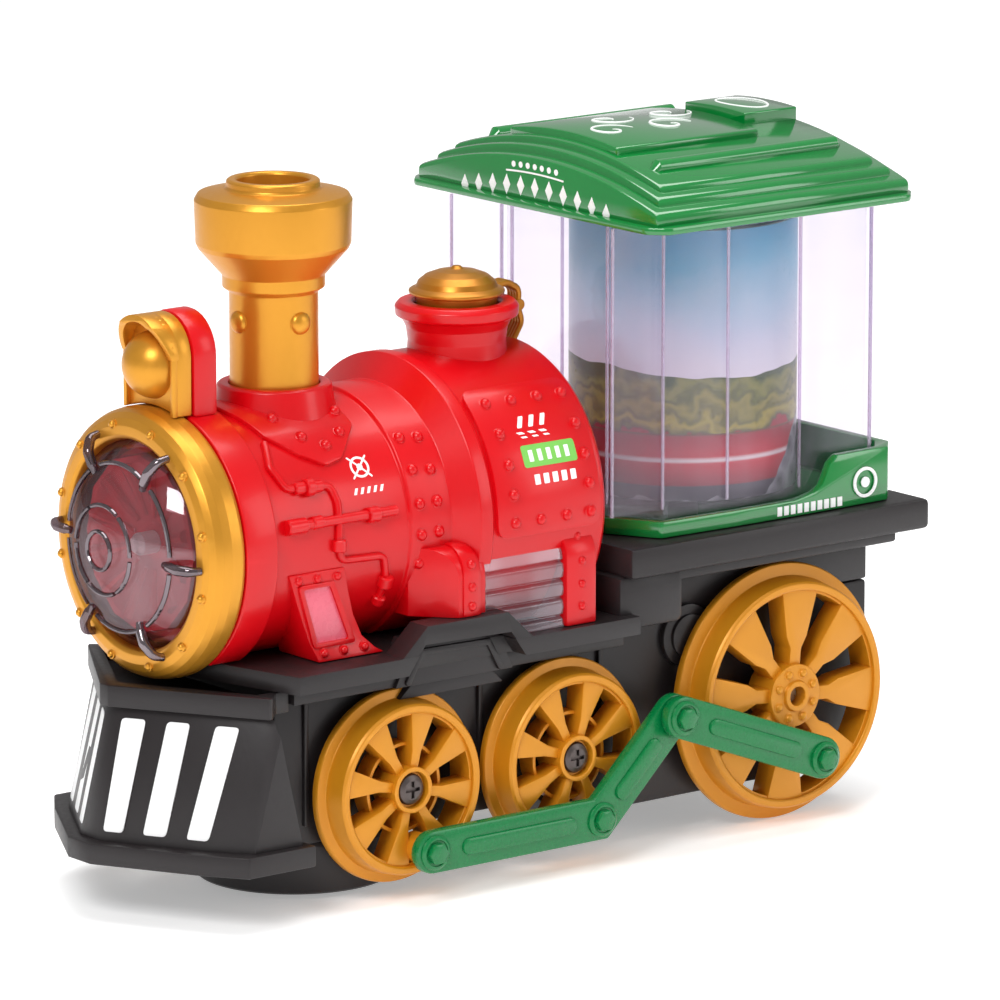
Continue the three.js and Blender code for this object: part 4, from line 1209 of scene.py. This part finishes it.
# ------------------------------------------------------------------ chimney
def chimney():
    top = CHIMNEY_TOP
    profile = [
        (6.4, 109), (9.8, 109), (9.7, 113), (9.7, 131.4), (11.2, 132.4), (11.2, 135), (16.4, 140.9),
        (16.9, 142.0), (17.2, top - 4.6), (16.4, top - 3.2), (10.6, top - 2.2), (10.2, top - 1.6),
        (10.2, top - 0.4), (9.6, top), (8.3, top), (7.9, top - 0.6), (7.9, 150), (6.4, 146),
    ]
    shape = solid(lathe, "z", profile, (CHIMNEY_X, 0, 0), 96, 0.55, ring=True)
    for k in range(4):
        a = math.pi / 2 * k
        at = (CHIMNEY_X + 9.45 * math.cos(a), 9.45 * math.sin(a), 125.4)
        dome(shape, at, (math.cos(a), math.sin(a), 0), 2.5, 1.3, 36, foot=0.15)
    return shape


piece("chimney_look", chimney(), [GOLD], ["chimney"])

# ------------------------------------------------------------------ water filler
def filler_collar():
    profile = [(9.4, 107), (12.2, 107), (11.2, 111.6), (10.9, 114.6), (11.3, 117.6), (12.3, 119.6),
               (13.6, 120.2), (13.8, 122.2), (12.9, 123.3), (10, 123.3), (9.4, 122.6)]
    return solid(lathe, "z", profile, (DOME_X, 0, 0), 88, 0.6, ring=True)


def strap(shape, stops):
    """A flat moulded strap through stops measured back from the filler's axis."""
    path = rounded(stops, 2.4, 5, closed=False)
    for y in (-1.4, -0.5, 0.5, 1.4):
        tube(shape, [(DOME_X + x, y, z) for x, z in path], 0.75, 10)


def filler_cap():
    profile = [(0, 121), (8.6, 121), (8.95, 121.6), (8.95, 124.8), (10.6, 124.9), (10.7, 125.7), (9.6, 126.3),
               (9.1, 126.5), (8.6, 127.7), (7.0, 129.0), (4.6, 129.9), (1.5, 130.4), (0.9, 131.0), (0, 131.1)]
    shape = solid(lathe, "z", profile, (DOME_X, 0, 0), 72, 0.4)
    strap(shape, [(8.8, 125.3), (13.2, 125.9), (16.4, 124.2), (16.1, 120.6)])
    pin(shape, "y", 1.3, -2.4, 2.4, (DOME_X + 16.1, 0, 120.6), 20, 0.2)
    return shape


def lower_strap():
    return solid(strap, [(16.1, 120.0), (17.2, 116.6), (14.8, 112.8), (11.6, 111.0)])


piece("filler_collar_look", filler_collar(), [RED], ["filler_collar"])
piece("filler_cap_look", filler_cap(), [CAP_GOLD], ["filler_cap"])
piece("cap_strap", lower_strap(), [CAP_GOLD], [], "chassis")

# ------------------------------------------------------------------ cab
CASE_HALF = [(29.6, -17.5), (36, -29.2), (54.6, -29.9), (75.7, -29.9), (97.6, -29.2), (102, -24.4)]
WING_X = 21.2


def case_end(x):
    """1 at the rear end of the case, -1 at the front end, 0 for corners beside the drum."""
    if abs(x - DRUM_X) <= 14:
        return 0
    return 1 if x > DRUM_X else -1


def grown(points, amount):
    return [(x + amount * case_end(x), y - amount) for x, y in points]


def cab_base():
    outline = rounded(mirrored(grown(CASE_HALF, 2.6)), 1.5, 4)
    rise = [(66, 73), (70, 73.5), (78, 75.0), (80.2, 76.4), (82.6, 81), (84.8, 82.6), (106, 82.6), (106, 73)]
    high = boolean(solid(side, rise, -40, 40, 0), [solid(plan, outline, 72, 90, 0)], "INTERSECT")
    well = solid(plan, mirrored(grown(CASE_HALF, 0.3)), 72.4, 95, 0)
    whole = boolean(boolean(solid(plan, outline, 70.2, 73.9, 0), [high], "UNION"), [well])
    return soften(whole, 0.5, 35)


def base_marks():
    shape = bmesh.new()
    ring_x, ring_z = 92.8, 75.4
    outlines = [rectangle(x, x + 1.3, 70.9, 73.0) for x in (66.7 + 1.98 * k for k in range(10))]
    outlines += [*hoop(ring_x, ring_z, 3.5, 2.8, 20, 0.5), circle(ring_x, ring_z, 1.2, 20)]
    for sign in (-1, 1):
        for outline in outlines:
            side(shape, outline, *span(sign, 32.3, 32.62), 0)
    return shape


def cab_case():
    inside = solid(plan, mirrored(grown(CASE_HALF, -1.3)), 70, 150, 0)
    whole = boolean(solid(plan, mirrored(CASE_HALF), 72.6, EAVE_Z - 0.3, 0), [inside])
    for sign in (-1, 1):
        slab(whole, WING_X, 36, *span(sign, 28.1, 29.2), 76, EAVE_Z - 0.3, 0)
    return whole


def case_highlight_rods():
    """Thin milky rods at the corners of the case: painted highlights for the light lines that the clear edges
    show.
    """
    shape = bmesh.new()
    for x, y in mirrored(CASE_HALF) + [(WING_X + 0.3, -29.2), (WING_X + 0.3, 29.2)]:
        at = (x - 0.45 * case_end(x), y - math.copysign(0.6, y), 0)
        pin(shape, "z", 0.4, 76, EAVE_Z - 0.4, at, 10)
    return shape


def film_drum():
    low, high = box_mm("film_drum")
    radius = (high.x - low.x) / 2
    profile = [(3.06, low.z), (radius, low.z), (radius, high.z), (radius - 1, high.z),
               (radius - 1, low.z + 1.6), (6, low.z + 1.6), (6, high.z - 3), (3.06, high.z - 3)]
    return solid(lathe, "z", profile, (DRUM_X, 0, 0), 120, 0.15, ring=True)


piece("cab_base_look", cab_base(), [GREEN], ["cab_base"])
piece("cab_base_marks", base_marks(), [PRINT], [], "chassis")
piece("cab_case_look", cab_case(), [CLEAR], ["cab_case"], crease=5)
piece("cab_case_highlight_rods", case_highlight_rods(), [CLEAR_HIGHLIGHT], [], "chassis")
piece("film_drum_look", film_drum(), [FILM], ["film_drum"])

# ------------------------------------------------------------------ roof
def bow(y, half, spring, crown):
    """Height of a shallow arch that springs at half to each side and is highest in the middle."""
    rise = crown - spring
    radius = (half * half + rise * rise) / (2 * rise)
    return crown - radius + math.sqrt(radius * radius - y * y)


def arched(shape, x0, x1, half, foot, arch, lift=0.0, bevel=0.7):
    """A block with upright sides and a top that follows an arch (half, spring, crown)."""
    top = [(y, bow(y, *arch) + lift) for y in (half - half * k / 12 for k in range(25))]
    top = rounded([(half, foot)] + top + [(-half, foot)], min(3.0, half / 4), 5, closed=False)
    front(shape, top, x0, x1, bevel)


LAYERS = ((23.0, 96.4, (42.6, 145.6, 152.8)), (26.0, 93.6, (39.6, 148.2, 154.8)),
          (28.8, 90.8, (36.8, 150.4, 156.4)))
ROOF_ARCH = LAYERS[-1][2]
PANEL_LIFT, BLOCK_LIFT = 1.7, 2.8


def cab_roof():
    eave = [(20.8, -41), (24.5, -45), (94.5, -45), (98.4, -41), (98.4, 41), (94.5, 45), (24.5, 45),
            (20.8, 41)]
    shape = solid(plan, rounded(eave, 3, 4), EAVE_Z, EAVE_Z + 1.7, 0.5)
    for x0, x1, arch_sizes in LAYERS:
        arched(shape, x0, x1, arch_sizes[0], EAVE_Z + 1.2, arch_sizes, 0.0, 1.0)
    arched(shape, 31, 72, 19, 152, ROOF_ARCH, PANEL_LIFT, 0.9)
    arched(shape, 75, 90.4, 10.5, 152, ROOF_ARCH, BLOCK_LIFT, 1.2)
    for y in (-28.4, 28.4):
        z = bow(y, *ROOF_ARCH)
        tube(shape, [(33, y, z - 0.9), (34.4, y, z + 0.1), (85.8, y, z + 0.1), (87.2, y, z - 0.9)],
             [0.8, 1.9, 1.9, 0.8], 16)
    return shape


def roof_marks():
    """Plain flourishes and rows of lozenges where the real roof is printed with words."""
    shape = bmesh.new()
    fascia_x, _, fascia = LAYERS[0]
    outlines = []
    for y in range(-25, 26, 5):
        z = bow(y, *fascia) - 6.9
        outlines.append([(y - 1.3, z), (y, z + 2.3), (y + 1.3, z), (y, z - 2.3)])
    outlines += [circle(y, bow(y, *fascia) - 2.2, 0.7, 12) for y in (-7.5 + 2.5 * k for k in range(7))]
    outlines.append(stroke([(y, bow(y, *fascia) - 3.7) for y in range(-10, 11, 2)], 0.2, 3))
    for outline in outlines:
        front(shape, outline, fascia_x - 0.06, fascia_x + 0.5, 0)
    for turn, cx, cy in ((1, 40, -6), (-1, 48, 5), (1, 56, -7), (-1, 64, 4)):
        path = []
        for i in range(37):
            a = turn * math.pi * 2.2 * i / 36
            r = 6.2 - 5.2 * i / 36
            y = cy + r * math.sin(a)
            path.append((cx + r * math.cos(a), y, bow(y, *ROOF_ARCH) + PANEL_LIFT))
        tube(shape, path, [0.1 + 0.28 * math.sin(math.pi * i / 36) for i in range(37)], 8)
    ring = []
    for i in range(41):
        a = math.pi * i / 20
        y = 7.4 * math.sin(a)
        ring.append((83 + 4.6 * math.cos(a), y, bow(y, *ROOF_ARCH) + BLOCK_LIFT - 0.1))
    tube(shape, ring, 0.3, 8)
    return shape


piece("cab_roof_look", cab_roof(), [GREEN], ["cab_roof"])
piece("cab_roof_marks", roof_marks(), [PRINT], [], "chassis")

# ------------------------------------------------------------------ finishes on the CAD nodes
def finish_nodes():
    """Gives every CAD node the material of its kind, which shows where no look replaces the node."""
    for name, node in frame["nodes"].items():
        node.data.materials.clear()
        node.data.materials.append(finish_of(name))


def finish_of(name):
    for word, material in (("cell", CELL_SKIN), ("board", BOARD), ("motor", STEEL), ("axle", STEEL),
                           ("screw", STEEL), ("drive_wheel", RUBBER), ("tank", CLEAR), ("mist", WHITE),
                           ("spindle", WHITE), ("gearbox", WHITE), ("led", WHITE), ("switch", WHITE)):
        if word in name:
            return material
    return DARK


finish_nodes()

# ------------------------------------------------------------------ floor, world and lamps
def floor_paper():
    """White studio paper, lit a little from below like a light table."""
    paper = shade("floor_paper", (250, 250, 250), 0.8, edge_highlight=0, hollow_shade=0, grain=0.0, spread=0.05)
    surface = paper.node_tree.nodes["Principled BSDF"]
    surface.inputs["Emission Color"].default_value = (1, 1, 1, 1)
    surface.inputs["Emission Strength"].default_value = 0.34
    return paper


def make_floor():
    mesh = bpy.data.meshes.new("floor")
    corners = [(x, y, 0) for x, y in rectangle(-6, 6, -6, 6)]
    mesh.from_pydata(corners, [], [(0, 1, 2, 3)])
    mesh.materials.append(floor_paper())
    floor = bpy.data.objects.new("floor", mesh)
    floor.location.z = -0.0004
    bpy.context.scene.collection.objects.link(floor)


def make_lamp(name, place, size, power, aim=(0, 0, 0.07)):
    data = bpy.data.lights.new(name, "AREA")
    data.shape = "RECTANGLE"
    data.size, data.size_y = size
    data.energy = power
    lamp = bpy.data.objects.new(name, data)
    lamp.location = place
    lamp.rotation_mode = "QUATERNION"
    lamp.rotation_quaternion = (Vector(aim) - Vector(place)).to_track_quat("-Z", "Y")
    bpy.context.scene.collection.objects.link(lamp)


def make_world():
    world = bpy.data.worlds.new("studio")
    world.use_nodes = True
    sky = world.node_tree.nodes["Background"]
    sky.inputs["Color"].default_value = (1, 1, 1, 1)
    sky.inputs["Strength"].default_value = 0.4
    bpy.context.scene.world = world
    bpy.context.scene.view_settings.view_transform = "Standard"


make_floor()
make_world()
make_lamp("key", (-1.2, -0.7, 1.3), (0.7, 0.7), 18)
make_lamp("fill", (1.2, -1.5, 0.7), (0.7, 1.0), 6)
make_lamp("top", (0.2, 0.1, 1.7), (1.2, 1.2), 20)
